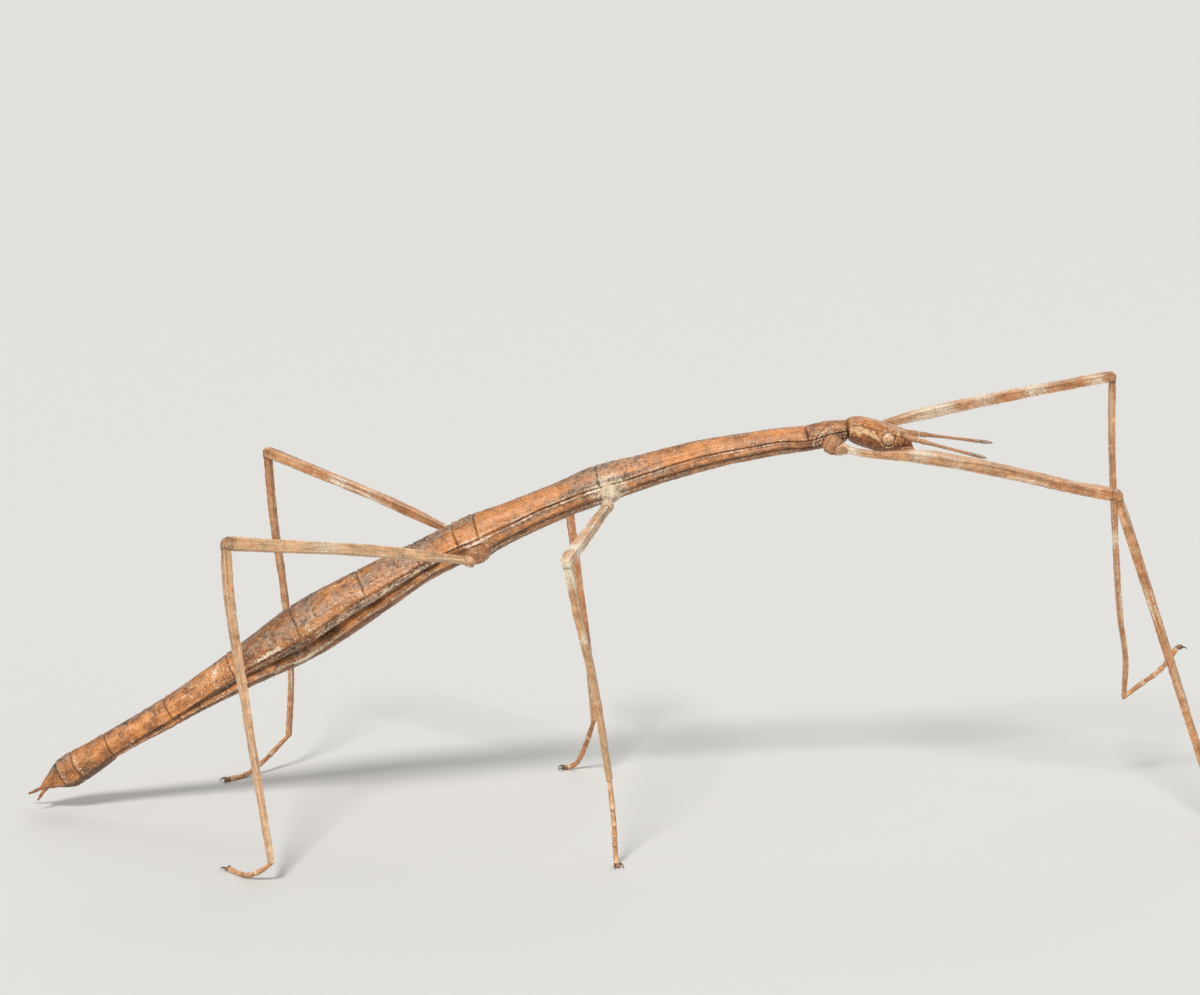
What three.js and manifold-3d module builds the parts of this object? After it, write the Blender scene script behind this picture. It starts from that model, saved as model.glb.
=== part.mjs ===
// A wingless female stick insect (Ramulus type) at life size, standing with its left fore leg
// lifted. Millimetres. +X runs towards the head, +Y to the animal's left and +Z up, and the
// feet stand on Z = 0. The origin is under the middle of the whole animal.

import * as THREE from "three";
import { mergeVertices } from "three/addons/utils/BufferGeometryUtils.js";
import Module from "manifold-3d";

const wasm = await Module();
wasm.setup();

// ---- Driving sizes ---------------------------------------------------------------------

const SEAM = 0.1; // slit between neighbouring pieces
const MIDDLE = { x: 4.43, y: -1.5 }; // middle of the pose's plan, in the pose's own frame

const BODY_SIDES = 18;
const LEG_SIDES = 8;
const FINE_SIDES = 6;

const RIM_SWELL = 0.035; // how much a segment widens at its two ends
const RIM_LENGTH = 0.08; // share of the segment over which it does
const RING_EASE = 0.6; // draws a segment's rings towards its ends

const FOLD_ANGLE = THREE.MathUtils.degToRad(120); // pleural fold, measured from the back
const FOLD_SPREAD = THREE.MathUtils.degToRad(15);
const TERGITE_FLOOR = 0.5; // where the last back plates end, as a share of the half height

// The trunk from the tail forwards: its centre line (x, z), the height and width of its
// section, and the depth of the fold along each side as a share of the radius.
const TRUNK = [
  { name: "tail_end", x: -52.8, z: 2.05, height: 1.1, width: 1.5, fold: 0 },
  { name: "abdomen_9_10", x: -50.7, z: 3.35, height: 2.7, width: 2.5, fold: 0 },
  { name: "abdomen_8_9", x: -49.2, z: 4.3, height: 2.95, width: 2.8, fold: 0 },
  { name: "abdomen_7_8", x: -46.1, z: 6.25, height: 2.5, width: 2.6, fold: 0.04 },
  { name: "abdomen_6_7", x: -40.3, z: 9.6, height: 2.8, width: 2.8, fold: 0.12 },
  { name: "abdomen_5_6", x: -34.1, z: 13.4, height: 3.75, width: 3.8, fold: 0.16 },
  { name: "abdomen_4_5", x: -27.65, z: 17.35, height: 5.35, width: 5.3, fold: 0.2 },
  { name: "abdomen_3_4", x: -21.55, z: 21.05, height: 4.65, width: 4.9, fold: 0.2 },
  { name: "abdomen_2_3", x: -16.65, z: 24.0, height: 3.8, width: 4.2, fold: 0.14 },
  { name: "median_2", x: -13.1, z: 25.8, height: 3.9, width: 4.0, fold: 0.08 },
  { name: "meta_median", x: -11.1, z: 26.6, height: 4.1, width: 4.0, fold: 0.05 },
  { name: "metathorax_waist", x: -7.5, z: 28.15, height: 3.55, width: 3.4, fold: 0.05 },
  { name: "metathorax_front", x: -2.8, z: 30.2, height: 3.4, width: 3.3, fold: 0.05 },
  { name: "meso_meta", x: 0.05, z: 31.35, height: 3.6, width: 3.6, fold: 0.03 },
  { name: "mesothorax_rear", x: 3.2, z: 32.3, height: 3.25, width: 3.2, fold: 0.04 },
  { name: "mesothorax_middle", x: 9.0, z: 33.95, height: 2.85, width: 2.8, fold: 0.04 },
  { name: "mesothorax_front", x: 15.9, z: 35.3, height: 2.4, width: 2.5, fold: 0.03 },
  { name: "pro_meso", x: 19.15, z: 35.7, height: 2.35, width: 2.4, fold: 0.02 },
  { name: "pronotum_middle", x: 21.1, z: 36.15, height: 2.35, width: 2.3, fold: 0.02 },
  { name: "neck", x: 22.75, z: 36.5, height: 1.8, width: 1.9, fold: 0 },
];

// The head from the neck to the mouth, in the same terms.
const HEAD = [
  { name: "occiput", x: 22.88, z: 36.65, height: 1.5, width: 1.6, fold: 0 },
  { name: "nape", x: 23.4, z: 36.55, height: 2.3, width: 2.4, fold: 0 },
  { name: "crown", x: 24.1, z: 36.4, height: 2.65, width: 2.7, fold: 0 },
  { name: "cheek", x: 25.6, z: 35.95, height: 2.8, width: 2.85, fold: 0 },
  { name: "brow", x: 26.6, z: 35.7, height: 2.75, width: 2.9, fold: 0 },
  { name: "forehead", x: 27.5, z: 35.58, height: 2.5, width: 2.5, fold: 0 },
  { name: "clypeus", x: 28.25, z: 35.45, height: 1.8, width: 1.9, fold: 0 },
  { name: "lip", x: 28.75, z: 35.25, height: 1.0, width: 1.2, fold: 0 },
];

const EYE = { x: 26.5, y: 1.2, z: 35.87, radius: 0.53, sides: 10, rings: 7 };

const ANTENNA = {
  right: [[27.85, -0.8, 36.1], [30.3, -1.75, 35.55], [35.4, -3.4, 34.5]],
  left: [[27.85, 0.8, 36.15], [30.55, 1.75, 35.65], [36.7, 3.4, 34.6]],
};
const ANTENNA_WIDTHS = [
  { x: 0, width: 0.55 },
  { x: 0.1, width: 0.8 },
  { x: 0.2, width: 0.72 },
  { x: 0.28, width: 0.5 },
  { x: 0.34, width: 0.56 },
  { x: 0.4, width: 0.48 },
  { x: 0.8, width: 0.48 },
  { x: 0.93, width: 0.55 },
  { x: 1, width: 0.32 },
];

const JAW = { x: 28.2, z: 34.68, length: 1.5, height: 0.62, width: 1.5 };
const PALP = { width: 0.46, root: [28.3, 0.62, 34.7], knee: [29.0, 0.85, 34.75], tip: [29.25, 0.8, 34.2] };

const OPERCULUM = { front: -46.2, rear: -51.6, width: 0.78, drop: 0.52, rings: 5, sides: 10 };
const CERCUS = {
  right: { root: [-52.35, -0.42, 2.15], tip: [-53.15, -0.85, 0.95] },
  left: { root: [-52.85, 0.42, 1.85], tip: [-54.3, 0.85, 1.15] },
  width: 0.52,
};

// Thickness of each leg piece along its length, for the fore, middle and hind pair.
const LEG_SIZES = {
  fore: {
    coxa: 2.1,
    femur: [[0, 0.56], [0.13, 0.64], [0.3, 1.14], [0.5, 1.12], [0.8, 1.05], [0.96, 1.08], [1, 0.7]],
    tibia: [[0, 0.62], [0.05, 0.78], [0.4, 0.7], [0.8, 0.62], [1, 0.53]],
    tarsus: 0.52,
  },
  middle: {
    coxa: 1.75,
    femur: [[0, 0.72], [0.1, 0.84], [0.5, 0.94], [0.85, 1.04], [0.96, 1.12], [1, 0.75]],
    tibia: [[0, 0.62], [0.05, 0.76], [0.4, 0.7], [0.9, 0.59], [1, 0.55]],
    tarsus: 0.54,
  },
  hind: {
    coxa: 1.8,
    femur: [[0, 0.6], [0.08, 0.68], [0.25, 0.94], [0.4, 0.98], [0.85, 1.05], [0.96, 1.1], [1, 0.75]],
    tibia: [[0, 0.64], [0.05, 0.8], [0.3, 0.76], [0.65, 0.65], [1, 0.56]],
    tarsus: 0.5,
  },
};

// The pose: the middle of each coxa, then the centre lines of femur, tibia and tarsus, the
// last point of one being the first of the next. Girth scales the femur's thickness and shin
// the tibia's.
const LEGS = {
  fore_right: {
    pair: "fore", hoop: "prothorax", girth: 1.09, shin: 1.22, coxa: [21.4, -1.55, 35.4],
    femur: [[22.35, -1.9, 35.05], [25.2, -2.45, 34.65], [29.4, -3.4, 34.65], [35.6, -4.95, 33.85],
      [43.0, -6.8, 32.5], [46.8, -7.7, 31.95]],
    tibia: [[46.8, -7.7, 31.95], [50.4, -7.55, 21.5], [57.2, -7.3, 1.6]],
    tarsus: [[57.2, -7.3, 1.6], [58.7, -8.45, 0.6], [60.6, -10.0, 0.28], [62.2, -11.4, 0.2]],
  },
  fore_left: {
    pair: "fore", hoop: "prothorax", girth: 0.9, shin: 0.85, coxa: [21.4, 1.55, 35.4],
    femur: [[22.35, 1.95, 35.3], [24.5, 2.5, 36.0], [29.3, 2.75, 37.3], [38.2, 3.45, 39.1],
      [47.8, 4.2, 40.8]],
    tibia: [[47.8, 4.2, 40.8], [48.05, 4.8, 34.5], [48.7, 5.6, 26.4], [49.6, 6.4, 17.3],
      [50.35, 6.85, 12.8], [50.35, 7.2, 8.95]],
    tarsus: [[50.35, 7.2, 8.95], [52.1, 7.35, 10.3], [53.7, 7.5, 11.45], [55.0, 7.65, 13.1],
      [55.35, 7.75, 13.7]],
  },
  middle_right: {
    pair: "middle", hoop: "mesothorax", girth: 1.12, shin: 1.12, coxa: [0.95, -1.9, 30.9],
    femur: [[0.6, -2.7, 29.7], [-0.9, -9.8, 29.15], [-2.9, -19.5, 28.5]],
    tibia: [[-2.9, -19.5, 28.5], [-1.9, -18.6, 23.4], [-0.5, -17.4, 16.7], [0.85, -15.8, 7.6]],
    tarsus: [[0.85, -15.8, 7.6], [1.25, -16.55, 3.7], [1.4, -17.0, 1.0], [1.5, -17.4, 0.2]],
  },
  middle_left: {
    pair: "middle", hoop: "mesothorax", girth: 1.08, shin: 1.08, coxa: [0.95, 1.9, 30.9],
    femur: [[0.5, 2.7, 29.7], [-1.4, 10.9, 28.1], [-3.25, 19.1, 26.5]],
    tibia: [[-3.25, 19.1, 26.5], [-2.25, 16.2, 19.45], [-1.15, 12.95, 11.85], [-0.6, 10.3, 5.7]],
    tarsus: [[-0.6, 10.3, 5.7], [-1.5, 12.1, 2.5], [-2.35, 12.95, 0.6], [-3.2, 12.9, 0.2]],
  },
  hind_right: {
    pair: "hind", hoop: "metathorax", girth: 1.16, shin: 1.16, coxa: [-11.2, -1.85, 25.2],
    femur: [[-12.3, -2.65, 24.7], [-21.8, -7.2, 26.75], [-30.7, -11.4, 28.15], [-33.4, -12.7, 28.6]],
    tibia: [[-33.4, -12.7, 28.6], [-33.0, -14.3, 23.9], [-31.3, -17.65, 14.15], [-29.0, -21.9, 1.8]],
    tarsus: [[-29.0, -21.9, 1.8], [-30.0, -21.6, 0.95], [-31.3, -20.8, 0.3], [-33.0, -18.9, 0.2]],
  },
  hind_left: {
    pair: "hind", hoop: "metathorax", girth: 1.02, shin: 0.97, coxa: [-11.2, 1.85, 25.2],
    femur: [[-12.6, 2.7, 25.6], [-20.1, 7.5, 28.1], [-26.5, 11.6, 29.85], [-32.3, 15.4, 31.35]],
    tibia: [[-32.3, 15.4, 31.35], [-31.85, 15.0, 25.4], [-30.8, 14.45, 17.0], [-30.3, 14.0, 9.4],
      [-30.6, 13.6, 3.3]],
    tarsus: [[-30.6, 13.6, 3.3], [-33.1, 11.5, 1.1], [-34.4, 10.4, 0.32], [-36.0, 9.0, 0.2]],
  },
};

const CLAW = { length: 0.85, spread: 0.42, root: 0.36, tip: 0.22, arch: 0.06, curl: 0.28 };
const PAD = { length: 0.55, width: 0.5, height: 0.44 };

const COLOURS = {
  back: 0xb07245, belly: 0x8d5c3a, head: 0xb8794c, eye: 0xa06a45, feeler: 0x8f6a50,
  mouth: 0x6d452c, leg: 0xc09a72, foot: 0xa57a5b, claw: 0x5a3a28,
};

// ---- Shape helpers ---------------------------------------------------------------------

// The value of one size at x: a smooth curve through the sizes listed at growing x.
function sizeAt(stations, key, x) {
  const last = stations.length - 1;
  const bounded = THREE.MathUtils.clamp(x, stations[0].x, stations[last].x);
  let i = 0;
  while (i < last - 1 && stations[i + 1].x < bounded) {
    i += 1;
  }
  const slope = (k) => {
    const before = stations[Math.max(k - 1, 0)];
    const after = stations[Math.min(k + 1, last)];
    return (after[key] - before[key]) / (after.x - before.x);
  };
  const span = stations[i + 1].x - stations[i].x;
  const t = (bounded - stations[i].x) / span;
  const start = (1 + 2 * t) * (1 - t) ** 2 * stations[i][key] + t * (1 - t) ** 2 * span * slope(i);
  const end = t ** 2 * (3 - 2 * t) * stations[i + 1][key] - t ** 2 * (1 - t) * span * slope(i + 1);
  return start + end;
}

// A closed tube whose every vertex is put in place by place(along, angle, radius): along runs
// from 0 to 1 between its ends, angle turns from the top to the right, radius is 0 or 1.
function warpedTube(sides, rings, place) {
  const plain = new THREE.CylinderGeometry(1, 1, 1, sides, rings);
  plain.deleteAttribute("normal");
  plain.deleteAttribute("uv");
  const tube = mergeVertices(plain);
  const positions = tube.getAttribute("position");
  const vertex = new THREE.Vector3();
  for (let i = 0; i < positions.count; i += 1) {
    vertex.fromBufferAttribute(positions, i);
    const radius = Math.hypot(vertex.x, vertex.z);
    const placed = place(vertex.y + 0.5, Math.atan2(vertex.x, vertex.z), radius);
    positions.setXYZ(i, placed.x, placed.y, placed.z);
  }
  return tube;
}

function toSolid(geometry) {
  const positions = geometry.clone();
  positions.deleteAttribute("normal");
  positions.deleteAttribute("uv");
  const merged = mergeVertices(positions);
  const vertProperties = new Float32Array(merged.getAttribute("position").array);
  const triVerts = new Uint32Array(merged.getIndex().array);
  return new wasm.Manifold(new wasm.Mesh({ numProp: 3, vertProperties, triVerts }));
}

function toGeometry(solid) {
  const mesh = solid.getMesh();
  const geometry = new THREE.BufferGeometry();
  geometry.setAttribute("position", new THREE.BufferAttribute(mesh.vertProperties, 3));
  geometry.setIndex(new THREE.BufferAttribute(mesh.triVerts, 1));
  return geometry;
}

const insect = new THREE.Group();
insect.position.set(-MIDDLE.x, -MIDDLE.y, 0);

function addPiece(name, geometry, color, roughness = 0.75) {
  geometry.computeVertexNormals();
  const material = new THREE.MeshStandardMaterial({ color, roughness, metalness: 0 });
  const piece = new THREE.Mesh(geometry, material);
  piece.name = name;
  insect.add(piece);
  return piece;
}

// ---- Trunk and head --------------------------------------------------------------------

// A point of the trunk's or the head's surface, or inside it where radius is under 1.
function bodyPoint(stations, x, angle, radius, { grow = 0, swell = 1, floor = 1 } = {}) {
  const step = 0.2;
  const slope = (sizeAt(stations, "z", x + step) - sizeAt(stations, "z", x - step)) / (2 * step);
  const tangent = new THREE.Vector3(1, 0, slope).normalize();
  const up = new THREE.Vector3(-tangent.z, 0, tangent.x);
  const fold = sizeAt(stations, "fold", x);
  const turn = (Math.abs(angle) - FOLD_ANGLE) / FOLD_SPREAD;
  const reach = radius * swell * (1 - fold * Math.exp(-(turn ** 2)));
  const halfHeight = sizeAt(stations, "height", x) / 2 + grow;
  const halfWidth = sizeAt(stations, "width", x) / 2 + grow;
  const rise = Math.max(reach * Math.cos(angle), -floor) * halfHeight;
  const point = new THREE.Vector3(x, 0, sizeAt(stations, "z", x));
  point.addScaledVector(up, rise);
  point.y -= reach * Math.sin(angle) * halfWidth;
  return point;
}

// One segment of the trunk between two x values.
function segmentGeometry(rear, front, rings, { grow = 0, floor = 1 } = {}) {
  return warpedTube(BODY_SIDES, rings, (along, angle, radius) => {
    const eased = along - (RING_EASE * Math.sin(2 * Math.PI * along)) / (2 * Math.PI);
    const edge = Math.exp(-eased / RIM_LENGTH) + Math.exp(-(1 - eased) / RIM_LENGTH);
    const x = rear + (front - rear) * eased;
    return bodyPoint(TRUNK, x, angle, radius, { grow, swell: 1 + RIM_SWELL * edge, floor });
  });
}

const borderAt = (name) => TRUNK.find((station) => station.name === name).x;

// Name, rear border, front border, rings, and where the plate ends below.
const SEGMENTS = [
  ["abdomen_10", "tail_end", "abdomen_9_10", 4, TERGITE_FLOOR],
  ["abdomen_9", "abdomen_9_10", "abdomen_8_9", 4, TERGITE_FLOOR],
  ["abdomen_8", "abdomen_8_9", "abdomen_7_8", 4, TERGITE_FLOOR],
  ["abdomen_7", "abdomen_7_8", "abdomen_6_7", 5, 1],
  ["abdomen_6", "abdomen_6_7", "abdomen_5_6", 5, 1],
  ["abdomen_5", "abdomen_5_6", "abdomen_4_5", 5, 1],
  ["abdomen_4", "abdomen_4_5", "abdomen_3_4", 5, 1],
  ["abdomen_3", "abdomen_3_4", "abdomen_2_3", 5, 1],
  ["abdomen_2", "abdomen_2_3", "median_2", 4, 1],
  ["median_segment", "median_2", "meta_median", 3, 1],
  ["metathorax", "meta_median", "meso_meta", 8, 1],
  ["mesothorax", "meso_meta", "pro_meso", 10, 1],
  ["prothorax", "pro_meso", "neck", 5, 1],
];

for (const [name, rearName, frontName, rings, floor] of SEGMENTS) {
  const rear = borderAt(rearName) + SEAM / 2;
  const front = borderAt(frontName) - SEAM / 2;
  addPiece(name, segmentGeometry(rear, front, rings, { floor }), COLOURS.back);
}

function addHead() {
  const rear = HEAD[0].x;
  const front = HEAD[HEAD.length - 1].x;
  const skull = warpedTube(BODY_SIDES, 11, (along, angle, radius) =>
    bodyPoint(HEAD, rear + (front - rear) * along, angle, radius));
  let solid = toSolid(skull);
  for (const side of [-1, 1]) {
    const socket = new THREE.SphereGeometry(EYE.radius + SEAM, EYE.sides, EYE.rings);
    socket.translate(EYE.x, side * EYE.y, EYE.z);
    solid = solid.subtract(toSolid(socket));
  }
  addPiece("head", toGeometry(solid), COLOURS.head);
}

function addEye(name, side) {
  const ball = new THREE.SphereGeometry(EYE.radius, EYE.sides, EYE.rings);
  const eye = addPiece(name, ball, COLOURS.eye, 0.3);
  eye.position.set(EYE.x, side * EYE.y, EYE.z);
}

// ---- Round limbs -----------------------------------------------------------------------

const toVector = (point) => new THREE.Vector3(...point);
const curveThrough = (points) => new THREE.CatmullRomCurve3(points.map(toVector), false, "centripetal");

// The square shape of a leg's section: four keels with flat, slightly hollow faces between.
const KEEL = 1.34;
const FACE = 0.86;
const keeled = (angle) => (Math.abs(Math.sin(2 * angle)) > 0.5 ? KEEL : FACE);
const round = () => 1;

// A limb along a curve, with its width listed along it. Its sides keep to the plane whose
// normal is given, and nothing of it goes below the ground.
function limbGeometry({
  curve, from = 0, widths, sides, rings, normal, outline = round, ground = 0,
}) {
  return warpedTube(sides, rings, (along, angle, radius) => {
    const t = from + (1 - from) * along;
    const tangent = curve.getTangentAt(t);
    const right = normal.clone().addScaledVector(tangent, -normal.dot(tangent)).normalize();
    const up = right.clone().cross(tangent);
    const reach = (radius * outline(angle) * sizeAt(widths, "width", along)) / 2;
    const point = curve.getPointAt(t);
    point.addScaledVector(right, Math.sin(angle) * reach);
    point.addScaledVector(up, Math.cos(angle) * reach);
    point.z = Math.max(point.z, ground);
    return point;
  });
}

const UPRIGHT_SIDE = new THREE.Vector3(0, -1, 0);

function addAntenna(side) {
  const geometry = limbGeometry({
    curve: curveThrough(ANTENNA[side]), from: 0.05, widths: ANTENNA_WIDTHS,
    sides: LEG_SIDES, rings: 12, normal: UPRIGHT_SIDE,
  });
  addPiece(`antenna_${side}`, geometry, COLOURS.feeler);
}

function evenWidths(width, blunt = 0.75) {
  return [
    { x: 0, width: width * blunt },
    { x: 0.25, width },
    { x: 0.75, width },
    { x: 1, width: width * blunt },
  ];
}

function addMouthparts() {
  const jaw = new THREE.SphereGeometry(0.5, 8, 5);
  jaw.scale(JAW.length, JAW.width, JAW.height);
  jaw.translate(JAW.x, 0, JAW.z);
  let solid = toSolid(jaw);
  for (const side of [-1, 1]) {
    const points = [PALP.root, PALP.knee, PALP.tip].map(([x, y, z]) => [x, side * y, z]);
    const palp = limbGeometry({
      curve: curveThrough(points), widths: evenWidths(PALP.width), sides: FINE_SIDES, rings: 5,
      normal: UPRIGHT_SIDE,
    });
    solid = solid.add(toSolid(palp));
  }
  const room = warpedTube(BODY_SIDES, 8, (along, angle, radius) => {
    const x = HEAD[0].x + (HEAD[HEAD.length - 1].x + SEAM - HEAD[0].x) * along;
    return bodyPoint(HEAD, x, angle, radius, { grow: SEAM });
  });
  addPiece("mouthparts", toGeometry(solid.subtract(toSolid(room))), COLOURS.mouth);
}

// ---- Tail end --------------------------------------------------------------------------

// The keel-shaped plate under the last three segments.
function addOperculum() {
  const { front, rear, sides, rings } = OPERCULUM;
  const boat = warpedTube(sides, rings, (along, angle, radius) => {
    const x = rear + (front - rear) * along;
    const taper = Math.sqrt(Math.min(1, 0.25 + 3 * along));
    const halfHeight = sizeAt(TRUNK, "height", x) / 2;
    const centre = bodyPoint(TRUNK, x, 0, 0);
    const below = bodyPoint(TRUNK, x, 0, 1).sub(centre).normalize().negate();
    const drop = OPERCULUM.drop * halfHeight * taper * Math.max(0, -Math.cos(angle)) * radius;
    centre.addScaledVector(below, TERGITE_FLOOR * halfHeight * (1 + RIM_SWELL) + SEAM + drop);
    centre.y -= radius * Math.sin(angle) * taper * OPERCULUM.width * sizeAt(TRUNK, "width", x) / 2;
    return centre;
  });
  addPiece("operculum", boat, COLOURS.belly);
}

function addCercus(side) {
  const { root, tip } = CERCUS[side];
  const geometry = limbGeometry({
    curve: curveThrough([root, tip]), widths: evenWidths(CERCUS.width), sides: FINE_SIDES,
    rings: 4, normal: UPRIGHT_SIDE,
  });
  const last = toSolid(segmentGeometry(borderAt("tail_end") - SEAM, borderAt("abdomen_9_10"), 4,
    { grow: SEAM }));
  addPiece(`cercus_${side}`, toGeometry(toSolid(geometry).subtract(last)), COLOURS.belly);
}

// ---- Legs ------------------------------------------------------------------------------

const HOOP_BORDERS = {
  prothorax: ["pro_meso", "neck"],
  mesothorax: ["metathorax_front", "mesothorax_rear"],
  metathorax: ["abdomen_2_3", "metathorax_waist"],
};

// The thorax where a leg joins it, grown by the slit that the leg keeps to it.
function thoraxRoom(hoop) {
  const [rear, front] = HOOP_BORDERS[hoop].map(borderAt);
  const geometry = warpedTube(BODY_SIDES, 6, (along, angle, radius) => {
    const x = rear - SEAM + (front - rear + 2 * SEAM) * along;
    return bodyPoint(TRUNK, x, angle, radius, { grow: SEAM, swell: 1 + RIM_SWELL });
  });
  return toSolid(geometry);
}

function stationsFrom(pairs, girth) {
  return pairs.map(([x, width]) => ({ x, width: width * girth }));
}

// Where along a curve a given length from its start lies, as a share.
const shareOf = (curve, length) => length / curve.getLength();

// The coxa stands clear of the thorax and of the femur, which is given grown by a slit.
function addCoxa(name, leg, sizes, femurRoom) {
  const hip = toVector(leg.femur[0]);
  const middle = toVector(leg.coxa);
  const away = hip.clone().sub(middle).normalize();
  const start = middle.clone().addScaledVector(away, -sizes.coxa / 2);
  const end = hip.clone().addScaledVector(away, sizes.femur[0][1] * 0.2);
  const curve = new THREE.LineCurve3(start, end);
  const length = curve.getLength();
  const ball = sizes.coxa / length;
  const widths = [
    { x: 0, width: 0.3 },
    { x: ball * 0.12, width: sizes.coxa * 0.68 },
    { x: ball * 0.5, width: sizes.coxa },
    { x: ball * 0.9, width: sizes.coxa * 0.78 },
    { x: 1, width: sizes.femur[0][1] },
  ];
  const normal = new THREE.Vector3(0, 0, 1);
  const barrel = limbGeometry({ curve, widths, sides: 8, rings: 6, normal });
  const solid = toSolid(barrel).subtract(thoraxRoom(leg.hoop)).subtract(femurRoom);
  addPiece(`coxa_${name}`, toGeometry(solid), COLOURS.belly);
}

// Five foot joints, each a little wider at its far end.
const TARSUS_JOINTS = [0.36, 0.55, 0.68, 0.78, 1];

function tarsusWidths(width) {
  const stations = [{ x: 0, width: width * 0.9 }];
  let start = 0;
  for (const end of TARSUS_JOINTS) {
    stations.push({ x: start + (end - start) * 0.3, width: width * 0.94 });
    stations.push({ x: start + (end - start) * 0.85, width: width * 1.08 });
    start = end;
  }
  stations.push({ x: 1, width: width * 0.85 });
  return stations;
}

// Two claws with the pad between them, in their own frame: +X ahead, +Z up, on the tarsus's
// end at the origin.
function clawGeometry(ground) {
  const pad = new THREE.SphereGeometry(0.5, 6, 4);
  pad.scale(PAD.length, PAD.width, PAD.height);
  pad.translate(PAD.length / 2 + SEAM, 0, 0);
  const padPositions = pad.getAttribute("position");
  for (let i = 0; i < padPositions.count; i += 1) {
    padPositions.setZ(i, Math.max(padPositions.getZ(i), ground));
  }
  let solid = toSolid(pad);
  for (const side of [-1, 1]) {
    const curve = curveThrough([
      [PAD.length * 0.3, side * PAD.width * 0.2, CLAW.arch],
      [CLAW.length * 0.75, side * CLAW.spread * 0.75, CLAW.arch],
      [CLAW.length + SEAM, side * CLAW.spread, CLAW.arch - CLAW.curl],
    ]);
    const widths = [{ x: 0, width: CLAW.root }, { x: 1, width: CLAW.tip }];
    const hook = limbGeometry({
      curve, widths, sides: 4, rings: 2, normal: UPRIGHT_SIDE, ground,
    });
    solid = solid.add(toSolid(hook));
  }
  return toGeometry(solid);
}

function addLeg(name, leg) {
  const sizes = LEG_SIZES[leg.pair];
  const femur = curveThrough(leg.femur);
  const tibia = curveThrough(leg.tibia);
  const tarsus = curveThrough(leg.tarsus);
  const hip = toVector(leg.femur[0]);
  const knee = toVector(leg.tibia[0]);
  const ankle = toVector(leg.tarsus[0]);
  const normal = knee.clone().sub(hip).cross(ankle.clone().sub(knee)).normalize();
  const femurWidths = stationsFrom(sizes.femur, leg.girth);
  const tibiaWidths = stationsFrom(sizes.tibia, leg.shin);
  const kneeRoom = sizes.femur[sizes.femur.length - 2][1] * leg.girth * 0.62;
  const ankleRoom = sizes.tarsus * 0.5;

  const femurShape = {
    curve: femur, widths: femurWidths, sides: LEG_SIDES, rings: 10, normal, outline: keeled,
  };
  const grownWidths = femurWidths.map(({ x, width }) => ({ x, width: width + 2 * SEAM }));
  addCoxa(name, leg, sizes, toSolid(limbGeometry({ ...femurShape, widths: grownWidths })));
  addPiece(`femur_${name}`, limbGeometry(femurShape), COLOURS.leg);
  addPiece(`tibia_${name}`, limbGeometry({
    curve: tibia, from: shareOf(tibia, kneeRoom + SEAM), widths: tibiaWidths,
    sides: LEG_SIDES, rings: 8, normal, outline: keeled,
  }), COLOURS.leg);
  addPiece(`tarsus_${name}`, limbGeometry({
    curve: tarsus, from: shareOf(tarsus, ankleRoom + SEAM), widths: tarsusWidths(sizes.tarsus),
    sides: FINE_SIDES, rings: 11, normal,
  }), COLOURS.foot);

  const toe = toVector(leg.tarsus[leg.tarsus.length - 1]);
  const ahead = tarsus.getTangentAt(1).setZ(0).normalize();
  const up = new THREE.Vector3(0, 0, 1);
  const left = up.clone().cross(ahead);
  const claws = addPiece(`claws_${name}`, clawGeometry(-toe.z), COLOURS.claw, 0.4);
  claws.position.copy(toe);
  claws.quaternion.setFromRotationMatrix(new THREE.Matrix4().makeBasis(ahead, left, up));
}

addHead();
addEye("eye_right", -1);
addEye("eye_left", 1);
addAntenna("right");
addAntenna("left");
addMouthparts();
addOperculum();
addCercus("right");
addCercus("left");
for (const [name, leg] of Object.entries(LEGS)) {
  addLeg(name, leg);
}

export default insect;
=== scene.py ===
# %% [markdown]
# # A stick insect at life size
# This lesson covers the CAD model of a wingless stick insect with the skin that you see: a body of
# ringed plates, a small head, thin feelers, six long legs and their claws. The CAD solids say where
# everything is. Every visible piece is a mesh made here, over the solid that it stands for.

# %% Load the frame
import math

import bpy
import numpy as np
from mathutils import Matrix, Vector


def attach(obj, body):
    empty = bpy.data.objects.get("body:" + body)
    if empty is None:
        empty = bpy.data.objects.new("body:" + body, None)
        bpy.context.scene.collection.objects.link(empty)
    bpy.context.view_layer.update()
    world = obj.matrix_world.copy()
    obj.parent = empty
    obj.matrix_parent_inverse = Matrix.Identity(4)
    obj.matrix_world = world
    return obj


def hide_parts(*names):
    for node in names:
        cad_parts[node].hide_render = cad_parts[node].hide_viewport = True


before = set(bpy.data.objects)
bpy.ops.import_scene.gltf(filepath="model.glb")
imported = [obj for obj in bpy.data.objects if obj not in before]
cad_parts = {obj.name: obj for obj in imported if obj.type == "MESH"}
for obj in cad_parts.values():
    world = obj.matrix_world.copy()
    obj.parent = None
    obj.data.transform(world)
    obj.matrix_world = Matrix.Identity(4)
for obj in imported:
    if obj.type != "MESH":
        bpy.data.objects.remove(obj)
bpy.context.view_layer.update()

# %% [markdown]
# ## Units and helpers
# An insect is easier to describe in millimetres and degrees, so the sizes below are in those, and
# one function turns them into metres when a mesh is made. Three small functions describe marks on
# a surface: `near` is a soft line, `ramp` a soft step and `between` a soft band.

# %% Units and soft shapes
MM = 0.001
POSE_SHIFT = np.array([-4.43, 1.5, 0.0])  # mm, puts the middle of the whole animal on the origin
FULL_TURN = 2 * np.pi


def near(value, at, width):
    return np.exp(-(((value - at) / width) ** 2))


def ramp(value, low, high):
    t = np.clip((value - low) / (high - low), 0, 1)
    return t * t * (3 - 2 * t)


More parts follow.
